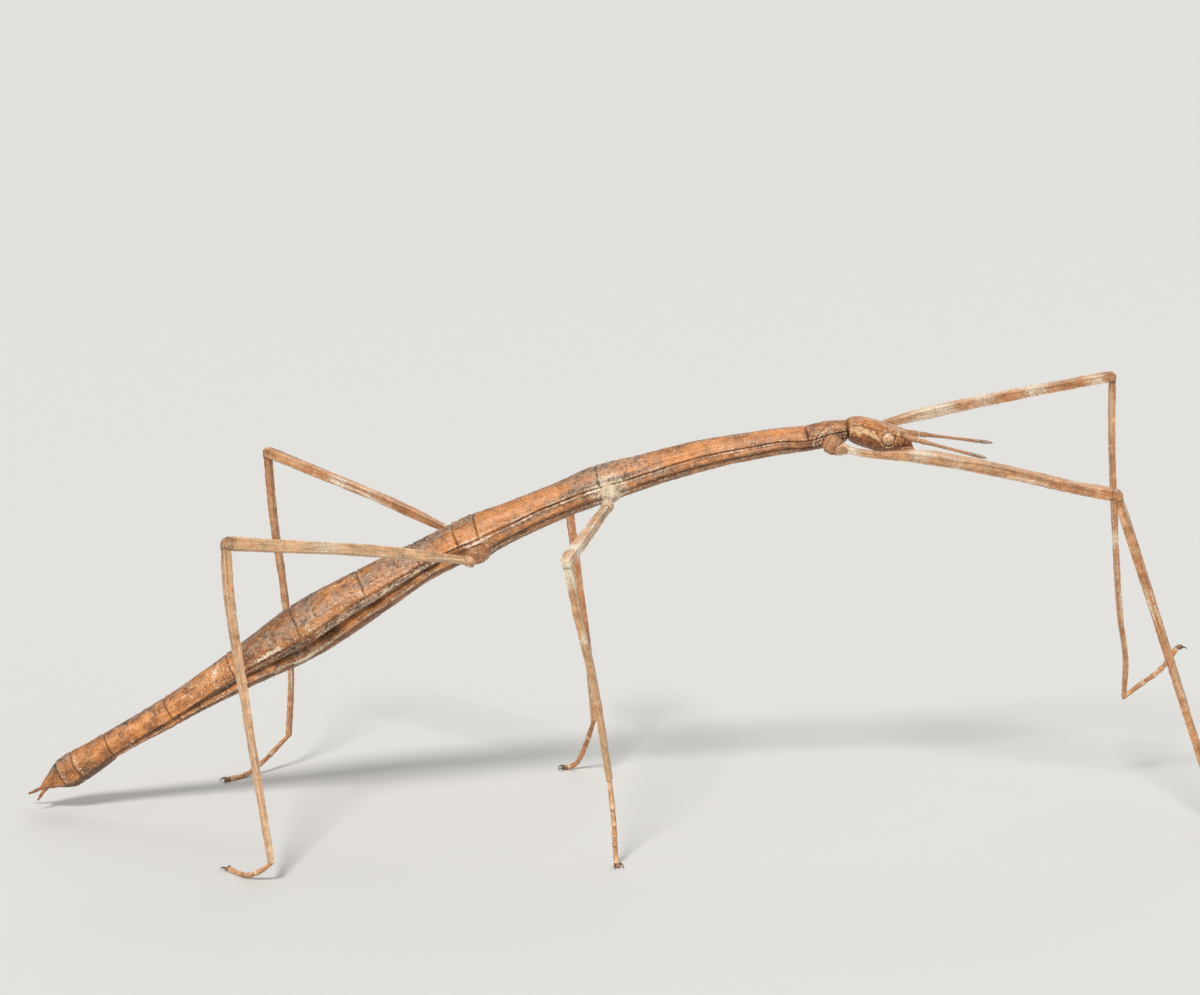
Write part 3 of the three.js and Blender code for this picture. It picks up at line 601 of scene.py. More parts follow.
def trunk_marks(x, lie, flank, gap, side, hoop, fleck):
    """Where the trunk is orange, pale, dark and dirty, on every side of it, and where shade is painted into
    its creases and underside.
    """
    edge, pleat = size_at(TRUNK, EDGE, x), size_at(TRUNK, PLEAT, x)
    abdomen = 1 - ramp(x, THORAX_START - 1.5, THORAX_START + 1.5)
    thorax = 1 - abdomen
    tail = 1 - ramp(x, TAIL_PLATES - 1.0, TAIL_PLATES + 0.5)
    folds = 1 - tail
    plate = 1 - ramp(flank, edge - 2, edge + 6)
    membrane = between(flank, edge + 8, pleat - 2, 4) * abdomen * folds
    fore = ramp(x, 17, 19.5)
    middle = near(x, 0.9, 3.2)
    swollen = between(x, -38, -15, 2.0)
    broken = unevenness(lie * (0.6, 1, 1), 0.7, 9)
    cloudy = unevenness(lie * (0.5, 1, 1), 1.9, 18)
    veins = near(unevenness(lie * (0.6, 1, 1), 1.6, 19), 0, 0.06) * plate * swollen

    tone = plate * (0.8 + 0.45 * cloudy) + 0.3 * (1 - plate) + 0.3 * thorax * near(flank, edge + 30, 9)
    tone = tone - 0.35 * tail * ramp(flank, 50, 110) - 0.4 * near(flank, 0, 30 + 14 * abdomen) - 0.4 * fore
    tone = tone + 0.35 * near(flank, 42, 22) * thorax * (1 - fore) - 0.3 * abdomen * between(x, -34, -27, 2)
    tone = tone + 0.4 * near(flank, pleat + 14, 9) * abdomen + 0.25 * membrane * broken

    # Painted shade in part: the dark at the segment borders is the dark of the joint and shade painted into
    # the groove.
    dark = (0.85 + 0.3 * broken) * near(gap, 0, 0.07) * (0.3 + 0.7 * plate)
    # Painted shade in the deep pleat and under the overhanging edge of the back plate.
    dark += 0.95 * near(flank + 3 * broken, pleat, 3.2) * abdomen * folds * (0.8 + 0.5 * broken)
    dark += 0.9 * near(flank, edge + 6, 1.8) * folds * (0.5 + 0.9 * broken) * (1 - 0.6 * fore)
    dark += 0.5 * near(flank + 9 * broken, edge + 17, 1.6) * swollen * folds
    dark += 0.4 * near(flank + 6 * cloudy, edge - 10, 1.5) * thorax * ramp(broken, -0.2, 0.4) * (1 - fore)
    dark += 0.4 * fore * (1 - hoop) * fleck * ramp(flank, 55, 85)
    # Painted shade in the groove below the belly plate's ridge and over the underside of the abdomen.
    dark += 0.7 * near(flank, pleat + 27, 3.5) * folds + 0.4 * abdomen * ramp(flank, pleat + 30, pleat + 45)
    belly_line = 0.55 * near(flank + 4 * broken, 124, 3.5) * (0.7 + broken)
    # The ramp here is painted shade on the underside of the thorax; the belly line is a dark line of its own.
    dark += thorax * (belly_line + 0.5 * ramp(flank, 143, 165))
    dark += 0.6 * near(x, TRUNK[-1, 0], 0.25) + 0.9 * np.clip(-broken - 0.35, 0, 1) * tail

    rim = 0.6 * near(flank, edge, 2.0) * folds * (0.6 + 0.9 * broken) * (1 - 0.7 * abdomen) * (1 - fore)
    pale = 0.10 + rim
    # The pale line along the belly plate's ridge is partly its own pale colour and partly a painted
    # highlight.
    pale += (0.5 + 0.3 * broken) * near(flank, pleat + 14, 2.8) * abdomen * folds
    pale += 0.45 * near(flank, 137, 2.5) * thorax * (1 - fore) + 0.12 * near(gap, 0.17, 0.08) * plate
    pale += (0.4 + 0.4 * broken) * near(flank, edge + 12, 3) * thorax * (1 - fore)
    pale += 0.3 * near(flank, edge - 9, 7) * between(x, 4, 18, 2) * (0.6 + broken)
    pale += 0.4 * near(flank + 5 * broken, 60, 2.2) * between(x, -49, -37, 1) * (0.6 + broken)
    pale += 0.5 * ramp(broken, 0.1, 0.6) * near(flank, edge - 3, 4) * between(x, -37, -19, 2)
    pale += 0.62 * fleck * middle * (0.9 + 0.5 * broken) + 0.2 * fleck * (1 - middle)
    pale += (0.2 + 0.35 * broken) * hoop * fore + 0.3 * veins + 0.22 * cloudy * plate * swollen
    pale += (0.3 + 0.3 * cloudy) * membrane * swollen + 0.12 * plate * near(flank, 62, 18) * swollen
    lobe, notch, crust = crumpled(x, flank, side)
    pale += 1.1 * crust * ramp(broken, -0.5, 0.1)
    # Painted shadow in the notch ahead of the lobe and along the rim round its lower side.
    dark += 0.9 * notch + 0.5 * lobe * near(unevenness(lie, 0.5, 12), 0, 0.12)
    pale += 0.12 * near(flank, edge - 5, 6) * between(x, -37, -23, 1.5)
    pale += 0.25 * tail * near(gap, 0.3, 0.2)

    back_line = 0.58 * near(flank, 0, 29) * (0.65 + 0.6 * broken) * (0.75 + 0.25 * abdomen)
    grime = 0.12 + back_line * (1 - 0.6 * fore)
    grime += membrane * (0.4 + 0.35 * broken) + 0.42 * plate * near(flank, 60, 24) * between(x, -33, -15, 1.5)
    grime += 0.3 * near(flank, 20, 30) * abdomen * (0.5 + broken)
    grime += 0.55 * near(flank, edge - 9, 11) * between(x, -10, 6, 2) * (0.7 + 0.5 * broken)
    grime += 0.42 * near(flank, 35, 40) * between(x, -3.0, 5.0, 1.2) * (1 - 0.6 * fleck)
    grime += 0.6 * near(flank, edge + 19, 7) * thorax * between(x, -10, 8, 2) * (0.7 + 0.7 * broken)
    grime += (0.45 * near(x, -12.0, 1.4) * near(flank, 10, 35)
              + 0.12 * near(x, -50.3, 1.2) * near(flank, 25, 55))

    grime += 0.4 * lobe
    grain = 0.2 + 0.4 * thorax * ramp(flank, edge, edge + 15) + 0.6 * fleck * middle + 0.7 * crust
    grain += near(flank, edge - 4, 6) * between(x, -37, -23, 1.5) + 0.5 * membrane * swollen
    hair = 0.3 * ramp(flank, 120, 160) + 0.35 * near(flank, 0, 30) + 0.2 * tail
    return {"tone": tone, "pale": pale, "dark": dark, "grime": grime, "grain": grain, "hair": hair}


def trunk_shell():
    turn = np.linspace(-np.pi, np.pi, TRUNK_SIDES, endpoint=False)
    x, angle = np.meshgrid(TRUNK_RINGS, turn + FLANK_PULL * np.sin(2 * turn), indexing="ij")
    side = np.sin(angle)
    lie = straight_points(TRUNK, x, angle)
    flank = np.degrees(np.abs(angle)) + 3.5 * unevenness(lie * (0.4, 0.2, 0.2), 1.0, 1)
    gap = nearest_border(x) + 0.09 * unevenness(lie, 0.9, 2)
    proud = trunk_relief(x, lie, flank, gap, side)
    swell = 1 - size_at(TRUNK, PINCH, x) * near(flank, size_at(TRUNK, PLEAT, x), 6.5)
    points = body_points(TRUNK, x, angle, swell, proud)

    hoop = np.zeros_like(x)
    fleck = np.zeros_like(x)
    socket = np.zeros_like(x)
    for place in COXAE.values():
        away = distance_to(points, place)
        for radius in HIP_RIMS:
            hoop = np.maximum(hoop, near(away, radius, 0.09))
        fleck = np.maximum(fleck, 1 - ramp(away, 1.2, 2.7))
        socket = np.maximum(socket, near(away, 0.9, 0.7))
    proud += 0.055 * hoop * (0.3 + 0.7 * ramp(x, 17, 19.5))
    proud += 0.3 * socket * near(x, COXAE["hind_right"][0], 3.0)
    tail = 1 - ramp(x, TAIL_PLATES - 1.0, TAIL_PLATES + 0.5)
    floor = 1.2 * (1 - (1 - TAIL_FLOOR) * tail)
    points = body_points(TRUNK, x, angle, swell, proud, floor=floor)
    return shell(points, lie, **trunk_marks(x, lie, flank, gap, side, hoop, fleck))


trunk = piece_from_shells("skin_trunk", [trunk_shell()], BODY_SHELL)
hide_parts("prothorax", "mesothorax", "metathorax", "median_segment",
            *[f"abdomen_{number}" for number in range(2, 11)])
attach(trunk, "root")

# %% [markdown]
# ## The head
# The head is a smooth capsule, carried level, with the eyes low at its sides and the mouth at its
# front. It is a tube like the trunk's with its own sizes and much closer rings, because this is
# the part that people look at first. A raised rim is laid round each eye and feeler by measuring
# the distance from its middle, so the rim fits however the capsule curves there.

# %% Head stations
HEAD = np.array([
    # x, centre z, height, width
    [22.20, 36.45, 1.10, 1.20],
    [22.75, 36.58, 1.45, 1.55],
    [22.98, 36.60, 2.05, 2.15],
    [23.40, 36.55, 2.40, 2.50],
    [24.10, 36.40, 2.68, 2.72],
    [25.60, 35.95, 2.80, 2.85],
    [26.60, 35.70, 2.75, 2.90],
    [27.50, 35.58, 2.50, 2.50],
    [28.25, 35.45, 1.80, 1.90],
    [28.75, 35.25, 1.00, 1.20],
])
EYE_MIDDLE = (26.5, 1.24, 35.87)
EYE_RADIUS = 0.6
FEELER_ROOT = (27.85, 0.8, 36.1)
FOREHEAD_LINE = 26.25
HEAD_SIDES = 180
HEAD_RINGS = 230


def both_sides(place):
    x, y, z = place
    return [(x, -y, z), (x, y, z)]


def head_shell():
    x = np.linspace(HEAD[0, 0], HEAD[-1, 0], HEAD_RINGS)
    angle = np.linspace(-np.pi, np.pi, HEAD_SIDES, endpoint=False)
    x, angle = np.meshgrid(x, angle, indexing="ij")
    side = np.sin(angle)
    lie = straight_points(HEAD, x, angle)
    flank = np.degrees(np.abs(angle)) + 3 * unevenness(lie * (0.5, 0.3, 0.3), 1.0, 11)
    swell = np.ones_like(x)
    plain = body_points(HEAD, x, angle, swell, 0 * x)
    eye = np.minimum(*[distance_to(plain, place) for place in both_sides(EYE_MIDDLE)])
    feeler = np.minimum(*[distance_to(plain, place) for place in both_sides(FEELER_ROOT)])
    crown_back = ramp(x, 22.9, 23.3)
    ragged = unevenness(lie, 0.3, 15)
    diagonal = flank - 18 * (x - 26.0)
    beaded = unevenness(lie, 0.14, 16)
    proud = 0.03 * near(eye, EYE_RADIUS + 0.15, 0.1) * np.clip(0.2 + 1.2 * beaded, 0, 1)
    proud -= 0.25 * (1 - ramp(eye, EYE_RADIUS - 0.12, EYE_RADIUS + 0.01))
    proud += 0.09 * near(feeler, 0.46, 0.09) - 0.15 * (1 - ramp(feeler, 0.25, 0.4))
    proud -= 0.045 * near(x, FOREHEAD_LINE, 0.06) * (1 - ramp(flank, 60, 80))
    proud -= 0.05 * near(flank, 62, 3.5) * between(x, 23.2, 26.0, 0.3)
    proud += 0.04 * near(flank, 72, 6) * between(x, 23.2, 26.0, 0.3)
    proud -= 0.05 * near(flank, 0, 3.0) * between(x, 23.0, 26.2, 0.4)
    proud -= 0.04 * near(diagonal, 120, 5) * between(x, 23.6, 27.6, 0.3)
    proud -= 0.08 * near(x, 28.05, 0.06) * (1 - ramp(flank, 80, 110))
    slanted = np.stack([x * 0.25, diagonal / 40, side], -1)
    proud += 0.035 * unevenness(slanted, 0.12, 12) * ramp(flank, 84, 100)
    proud += crown_back * (0.018 * unevenness(lie * (0.35, 1, 1), 0.22, 12)
                           + 0.022 * unevenness(lie, 0.15, 13))
    proud += 0.03 * unevenness(lie, 0.7, 14)
    points = body_points(HEAD, x, angle, swell, proud)

    cap = 1 - ramp(flank, 56, 66)
    stripe = between(flank, 71, 100 - 4 * (x - 23.0), 20) * between(x, 23.1, 25.9, 0.6)
    cheek = ramp(flank, 88, 116)
    # Painted shade: the head darkens towards its underside, in its tone and in its dark mark.
    low = ramp(flank, 122, 155)
    front = ramp(x, FOREHEAD_LINE, FOREHEAD_LINE + 0.1)
    around_eye = near(eye, EYE_RADIUS + 0.19, 0.1)
    tone = 1.0 * cap + 1.2 * stripe + 0.4 + 0.45 * ragged
    tone = tone * (1 - 0.35 * cheek - 0.35 * low)
    pale = 0.1 + (0.58 + 0.6 * ragged) * stripe + 1.1 * np.clip(1.8 * beaded - 0.2, 0, 1) * around_eye
    pale += 0.4 * near(feeler, 0.46, 0.12) + 0.25 * front * cap + 0.35 * near(x, 23.1, 0.12)
    pale += 0.3 * near(diagonal, 104, 6) * between(x, 23.4, 26.0, 0.3)
    dark = 0.9 * near(eye, EYE_RADIUS + 0.02, 0.045) + 0.8 * near(x, FOREHEAD_LINE, 0.05) * cap
    dark += 0.7 * near(flank, 61, 2.5) * between(x, 23.2, 26.0, 0.3) * (0.8 + ragged)
    # The last term is painted shade on the underside of the head.
    dark += 0.3 * near(diagonal, 120, 5) * between(x, 23.6, 27.6, 0.3) + 0.25 * low
    dark += 0.95 * (1 - ramp(x, 22.75, 23.0)) + 0.7 * near(x, 28.05, 0.07)
    dark += 0.25 * near(flank, 0, 3.0) * between(x, 23.0, 26.2, 0.4)
    grime = 0.15 + 0.3 * front * cap + 0.18 * near(flank, 20, 30) * (1 - front) + 0.2 * near(x, 23.1, 0.2)
    specks = around_eye * (0.6 + 1.2 * ragged) + 0.8 * near(feeler, 0.6, 0.15) + 0.03
    hair = 0.06 + 0.5 * ramp(x, 27.6, 28.2)
    return shell(points, lie, tone=tone, pale=pale, dark=dark, grime=grime, grain=specks, hair=hair)


head = piece_from_shells("skin_head", [head_shell()], HEAD_SHELL)
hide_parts("head")
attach(head, "root")

# %% [markdown]
# ## The eyes
# An insect's eye is a dome of hundreds of lenses under one clear skin: brown inside, with a sharp
# highlight. A sphere whose points are placed by a formula keeps its rows even, and a clear coat
# over a mottled base gives the wet look.

# %% Eye material and domes
def make_eye_material():
    material = bpy.data.materials.new("eye_lens")
    material.use_nodes = True
    tree = material.node_tree
    lie = mark_output(tree, "lie")
    cells = add_node(tree, "ShaderNodeTexVoronoi", {"Vector": lie, "Scale": 16.0})
    cloud = noise(tree, lie, 0.28, detail=3.0)
    share = rescale(tree, cloud, 0.35, 0.65, 0.0, 1.0)
    colour = blend_colour(tree, share, paint("b9825a"), paint("efc9a4"))
    # Painted shade: the lower half of each eye is blended towards brown by the mark that the eye shell
    # passes.
    colour = blend_colour(tree, mark_output(tree, "grime"), colour, paint("94603c"))
    colour = blend_colour(tree, mark_output(tree, "dark"), colour, paint("2b150b"))
    surface = tree.nodes["Principled BSDF"]
    surface.inputs["Coat Weight"].default_value = 0.8
    surface.inputs["Coat Roughness"].default_value = 0.08
    tree.links.new(colour, surface.inputs["Base Color"])
    tree.links.new(rescale(tree, cloud, 0.3, 0.7, 0.18, 0.32), surface.inputs["Roughness"])
    bump = add_node(tree, "ShaderNodeBump", {
        "Height": cells.outputs["Distance"], "Distance": 0.004 * MM, "Strength": 0.5})
    tree.links.new(bump.outputs[0], surface.inputs["Normal"])
    return material


EYE_LENS = make_eye_material()
EYE_FLATNESS = 0.82  # an eye is shallower than it is wide


def eye_shell(side):
    """A dome whose axis points out of the head's side."""
    away, angle = np.meshgrid(np.linspace(0.02, np.pi - 0.02, 48), np.linspace(0, FULL_TURN, 64, False),
                              indexing="ij")
    ball = np.stack([np.sin(away) * np.cos(angle), -np.cos(away) * EYE_FLATNESS,
                     np.sin(away) * np.sin(angle)], axis=-1) * EYE_RADIUS
    x, y, z = EYE_MIDDLE
    rim = near(np.degrees(np.minimum(away, np.pi - away)), 76, 5)
    # Painted shade: the lower half of the eye is darkened towards brown.
    shade = 0.7 * ramp(-ball[..., 2], 0.0, EYE_RADIUS)
    if side < 0:
        return shell(ball + (x, -y, z), ball, dark=0.55 * rim, grime=shade)
    return shell(ball + (x, y, z), ball, dark=0.55 * rim, grime=shade)


for side, side_name in ((-1, "right"), (1, "left")):
    eye = piece_from_shells(f"eyeball_{side_name}", [eye_shell(side)], EYE_LENS)
    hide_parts(f"eye_{side_name}")
    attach(eye, "root")

# %% [markdown]
# ## Limbs
# Feelers, palps, tail feelers, legs and claws are all tubes along a path. One function samples a
# smooth curve through a few named points, and another sweeps a section along it. The section may
# be square, with a keel at each corner, as a stick insect's legs are.

# %% Paths and tubes
def spline_points(points, dense=80):
    """A centripetal Catmull-Rom curve through the points, as the CAD model uses."""
    points = np.array(points, float)
    padded = np.vstack([2 * points[0] - points[1], points, 2 * points[-1] - points[-2]])
    curve = [points[:1]]
    for i in range(len(points) - 1):
        a, b, c, d = padded[i:i + 4]
        first, span, last = [np.linalg.norm(q - p) ** 0.5 for p, q in ((a, b), (b, c), (c, d))]
        leave = ((b - a) / first - (c - a) / (first + span) + (c - b) / span) * span
        arrive = ((c - b) / span - (d - b) / (span + last) + (d - c) / last) * span
        t = np.linspace(0, 1, dense)[1:, None]
        curve.append(b + leave * t + (3 * (c - b) - 2 * leave - arrive) * t ** 2
                     + (2 * (b - c) + leave + arrive) * t ** 3)
    return np.concatenate(curve)


ASIDE = 0.05  # mm either way along a path, between which its direction is taken


def follow(points, share):
    """Places and unit tangents at shares of the path's length; past its ends it runs straight on."""
    dense = spline_points(points)
    steps = np.linalg.norm(np.diff(dense, axis=0), axis=1)
    reached = np.concatenate([[0], np.cumsum(steps)])
    length = reached[-1]
    inside = np.clip(share, 0, 1) * length

    def at(distance):
        return np.stack([np.interp(distance, reached, dense[:, k]) for k in range(3)], axis=-1)

    place = at(inside)
    tangent = at(np.clip(inside + ASIDE, 0, length)) - at(np.clip(inside - ASIDE, 0, length))
    tangent /= np.linalg.norm(tangent, axis=-1, keepdims=True)
    beyond = (share - np.clip(share, 0, 1)) * length
    return place + tangent * beyond[:, None], tangent, length


def tube(points, share, sides, normal, reach, start=0.0):
    """A tube along a path. `reach(share, angle, along)` gives the section's radius in mm."""
    place, tangent, length = follow(points, share)
    right = normal - (tangent @ normal)[:, None] * tangent
    right /= np.linalg.norm(right, axis=-1, keepdims=True)
    up = np.cross(right, tangent)
    angle = np.linspace(-np.pi, np.pi, sides, endpoint=False)
    share_grid, angle_grid = np.meshgrid(share, angle, indexing="ij")
    along = share_grid * length
    radius = reach(share_grid, angle_grid, along)
    sine, cosine = np.sin(angle_grid)[..., None], np.cos(angle_grid)[..., None]
    grid = place[:, None] + radius[..., None] * (right[:, None] * sine + up[:, None] * cosine)
    mean = radius.mean(axis=1, keepdims=True)
    lie = np.stack([along + start, mean * np.sin(angle_grid), mean * np.cos(angle_grid)], axis=-1)
    return grid, lie, share_grid, angle_grid, along


def rounded(along, length, near_end, far_end):
    """A factor that closes a tube like a dome over the given lengths at its two ends."""
    first = np.clip(along / near_end, 0.0, 1)
    last = np.clip((length - along) / far_end, 0.0, 1)
    return np.sqrt(np.maximum(1 - (1 - first) ** 2, 0.01)) * np.sqrt(np.maximum(1 - (1 - last) ** 2, 0.01))


def eased(count, low=0.0, high=1.0, pull=0.5):
    """Steps from low to high, drawn together at both ends."""
    t = np.linspace(0, 1, count)
    return low + (high - low) * (t - pull * np.sin(FULL_TURN * t) / FULL_TURN)


SIDEWAYS = np.array([0.0, -1.0, 0.0])
print("limb helpers are ready")

# %% [markdown]
# ## The feelers
# A feeler has a broad flattened first joint, a short second one and a string of small joints that
# ends in a pointed grey tip. This repeats along a path, so Geometry Nodes make it: a chain of
# points carries its own thickness, and a circle is swept along it.

# %% Feeler tree
def make_feeler_tree():
    tree = bpy.data.node_groups.new("Feeler", "GeometryNodeTree")
    for name, kind in (("Chain", "NodeSocketGeometry"), ("Sides", "NodeSocketInt"),
                       ("Thickness", "NodeSocketFloat"), ("Material", "NodeSocketMaterial")):
        tree.interface.new_socket(name, in_out="INPUT", socket_type=kind)
    tree.interface.new_socket("Feeler", in_out="OUTPUT", socket_type="NodeSocketGeometry")
    given = add_node(tree, "NodeGroupInput").outputs
    curve = add_node(tree, "GeometryNodeMeshToCurve", {"Mesh": given["Chain"]}).outputs[0]
    width = add_node(tree, "GeometryNodeInputNamedAttribute", {"Name": "width"}, data_type="FLOAT")
    radius = maths(tree, "MULTIPLY", width.outputs["Attribute"], given["Thickness"])
    circle = add_node(tree, "GeometryNodeCurvePrimitiveCircle", {"Resolution": given["Sides"], "Radius": 0.5})
    swept = add_node(tree, "GeometryNodeCurveToMesh", {
        "Curve": curve, "Profile Curve": circle.outputs[0], "Scale": radius, "Fill Caps": True})
    centre = add_node(tree, "GeometryNodeInputNamedAttribute", {"Name": "centre"}, data_type="FLOAT_VECTOR")
    place = add_node(tree, "GeometryNodeInputPosition").outputs[0]
    out = add_node(tree, "ShaderNodeVectorMath", {0: place, 1: centre.outputs["Attribute"]},
                   operation="SUBTRACT")
    across = add_node(tree, "ShaderNodeVectorMath", {0: out.outputs[0], 1: (0, 1 / MM, 1 / MM)},
                      operation="MULTIPLY")
    along = add_node(tree, "GeometryNodeInputNamedAttribute", {"Name": "lie"}, data_type="FLOAT_VECTOR")
    wrapped = add_node(tree, "ShaderNodeVectorMath", {0: along.outputs["Attribute"], 1: across.outputs[0]})
    stored = add_node(tree, "GeometryNodeStoreNamedAttribute", {
        "Geometry": swept.outputs[0], "Name": "lie", "Value": wrapped.outputs[0]},
        data_type="FLOAT_VECTOR", domain="POINT")
    apart = add_node(tree, "ShaderNodeSeparateXYZ", {0: out.outputs[0]}).outputs
    turn = add_node(tree, "ShaderNodeMath", {0: apart[1], 1: apart[2]}, operation="ARCTAN2")
    around = rescale(tree, turn.outputs[0], -math.pi, math.pi, 0.0, 1.0)
    rooted = add_node(tree, "GeometryNodeStoreNamedAttribute", {
        "Geometry": stored.outputs[0], "Name": ROOT_PLACE[1], "Value": around},
        data_type="FLOAT", domain="POINT")
    smooth = add_node(tree, "GeometryNodeSetShadeSmooth", {"Geometry": rooted.outputs[0]})
    solid = add_node(tree, "GeometryNodeRealizeInstances", {0: smooth.outputs[0]})
    coloured = add_node(tree, "GeometryNodeSetMaterial", {
        "Geometry": solid.outputs[0], "Material": given["Material"]})
    add_node(tree, "NodeGroupOutput", {0: coloured.outputs[0]})
    return tree


def run_tree(tree, carrier, name, values):
    """The plain mesh that a tree makes from its carrier, which loses the modifier again."""
    modifier = carrier.modifiers.new(tree.name, "NODES")
    modifier.node_group = tree
    for item in tree.interface.items_tree:
        if item.item_type == "SOCKET" and item.in_out == "INPUT" and item.name in values:
            modifier[item.identifier] = values[item.name]
    graph = bpy.context.evaluated_depsgraph_get()
    mesh = bpy.data.meshes.new_from_object(carrier.evaluated_get(graph))
    carrier.modifiers.remove(modifier)
    mesh.name = name
    piece = bpy.data.objects.new(name, mesh)
    bpy.context.scene.collection.objects.link(piece)
    print(f"{name}: {sum(len(face.vertices) - 2 for face in mesh.polygons)} triangles")
    return piece


FEELER_TREE = make_feeler_tree()
FEELER_SHELL = cuticle_material("feeler_shell", {
    "back": "bf8558", "belly": "a18c7a", "cream": "f2e4cc", "bloom": "a8988a", "dust": "8a7a6c",
    "fold": "3a2316"}, 0.015, **{
    "Patch Size": 0.35, "Streak Length": 1.2, "Streak Width": 0.08, "Grain Size": 0.09, "Fibre": 0.25,
    "Dullness": 0.4})

# %% Two feelers
FEELERS = {
    "right": [(27.85, -0.8, 36.1), (30.3, -1.75, 35.55), (35.4, -3.4, 34.5)],
    "left": [(27.85, 0.8, 36.15), (30.55, 1.75, 35.65), (36.7, 3.4, 34.6)],
}
FEELER_JOINTS = np.array([0.0, 0.21, 0.30, 0.36, 0.415, 0.47, 0.53, 0.60, 0.68, 0.77, 0.86, 1.0])
FEELER_WIDTHS = np.array([0.56, 0.48, 0.36, 0.32, 0.30, 0.29, 0.28, 0.28, 0.30, 0.33, 0.38])
FEELER_POINTS = 260


def feeler_piece(side_name):
    share = np.linspace(-0.02, 1, FEELER_POINTS)
    place, _, length = follow(FEELERS[side_name], share)
    joint = np.clip(np.searchsorted(FEELER_JOINTS, share) - 1, 0, len(FEELER_WIDTHS) - 1)
    inside = (share - FEELER_JOINTS[joint]) / (FEELER_JOINTS[joint + 1] - FEELER_JOINTS[joint])
    width = np.interp(share, (FEELER_JOINTS[1:] + FEELER_JOINTS[:-1]) / 2, FEELER_WIDTHS)
    width = width * (0.96 + 0.16 * inside)
    collar = near(inside, 1.0, 0.09) + near(inside, 0.0, 0.06)
    width = width * (1 - 0.24 * collar * (share < 0.98))
    width = width * np.sqrt(np.clip((1 - share) / 0.09, 0.02, 1))
    mesh = bpy.data.meshes.new("chain")
    chain = ((place + POSE_SHIFT) * MM).tolist()
    mesh.from_pydata(chain, [(i, i + 1) for i in range(FEELER_POINTS - 1)], [])
    lie = np.stack([share * length, 0 * share, 0 * share], axis=-1)
    marks = {
        "width": width * MM, "tone": 1 - ramp(share, 0.7, 0.9), "grime": 0.5 * ramp(share, 0.75, 0.9),
        "pale": 0.4 * near(inside, 0.97, 0.07) * (share < 0.7) + 0.15,
        "dark": 0.8 * near(inside, 0.02, 0.08), "hair": 0.5 + 0.5 * ramp(share, 0.5, 0.9), "grain": 0 * share,
        ROOT_PLACE[0]: share,
    }
    for name, values in marks.items():
        mesh.attributes.new(name, "FLOAT", "POINT").data.foreach_set("value", np.clip(values, 0, 1))
    mesh.attributes.new("lie", "FLOAT_VECTOR", "POINT").data.foreach_set("vector", lie.ravel())
    mesh.attributes.new("centre", "FLOAT_VECTOR", "POINT").data.foreach_set("vector", np.ravel(chain))
    carrier = bpy.data.objects.new("chain", mesh)
    bpy.context.scene.collection.objects.link(carrier)
    piece = run_tree(FEELER_TREE, carrier, f"feeler_{side_name}", {
        "Sides": 28, "Thickness": 1.0, "Material": FEELER_SHELL})
    bpy.data.objects.remove(carrier)
    return piece


feelers = {}
for side_name in ("right", "left"):
    feelers[side_name] = feeler_piece(side_name)
    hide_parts(f"antenna_{side_name}")
    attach(feelers[side_name], "root")

# %% [markdown]
# ## The mouth
# Under the front of the head hang two dark jaws, a small lower lip and four jointed palps that
# touch the food. Each is a short tube. They are one piece, because they grow from one place, and
# the long pair of palps is kept in the pose where the tips rest beside the lip.

# %% Mouthparts
MOUTH_SHELL = cuticle_material("mouth_shell", {
    "back": "b47c52", "belly": "54321d", "cream": "ead2ac", "bloom": "95806d", "dust": "6d5847",
    "fold": "1c0f08"}, 0.015, **{
    "Patch Size": 0.3, "Streak Length": 0.6, "Streak Width": 0.06, "Grain Size": 0.08, "Fibre": 0.2,
    "Dullness": 0.33})
PALPS = {
    "outer": {"points": [(27.7, 0.75, 34.85), (28.3, 0.95, 34.9), (28.75, 0.9, 34.85), (28.9, 0.85, 34.5)],
              "width": 0.44, "joints": 3},
    "inner": {"points": [(27.9, 0.3, 34.7), (28.4, 0.42, 34.5), (28.65, 0.42, 34.3)],
              "width": 0.32, "joints": 2},
}
JAW = {"points": [(27.5, 0.36, 35.0), (28.2, 0.4, 34.95), (28.7, 0.16, 34.85)], "width": 0.66}
LOWER_LIP = {"points": [(27.3, 0.0, 34.62), (27.9, 0.0, 34.5), (28.5, 0.0, 34.42)], "width": 0.72}


def beads(share, joints, depth):
    """A width factor that narrows between joints."""
    inside = (share * joints) % 1.0
    return 1 - depth * (near(inside, 0, 0.12) + near(inside, 1, 0.12))


def short_limb(points, width, joints, sides=28, rings=60, flat=1.0, tone=0.6, grow=0.0):
    share = np.linspace(0, 1, rings)
    length = follow(points, share)[2]

    def reach(share_grid, angle, along):
        size = width * (1 + grow * share_grid) * rounded(along, length, 0.5 * width, 0.5 * width)
        section = 1 / np.sqrt(np.sin(angle) ** 2 + (np.cos(angle) / flat) ** 2)
        return 0.5 * size * beads(share_grid, joints, 0.2) * section

    grid, lie, share_grid, angle, along = tube(points, share, sides, SIDEWAYS, reach)
    inside = (share_grid * joints) % 1.0
    gap = near(inside, 0, 0.08) + near(inside, 1, 0.08)
    return shell(grid, lie, tone=tone, dark=0.5 * gap, pale=0.35 * near(inside, 0.85, 0.1),
                 hair=0.6, grime=0.15)


def mirrored(points, side):
    return [(x, side * y, z) for x, y, z in points]


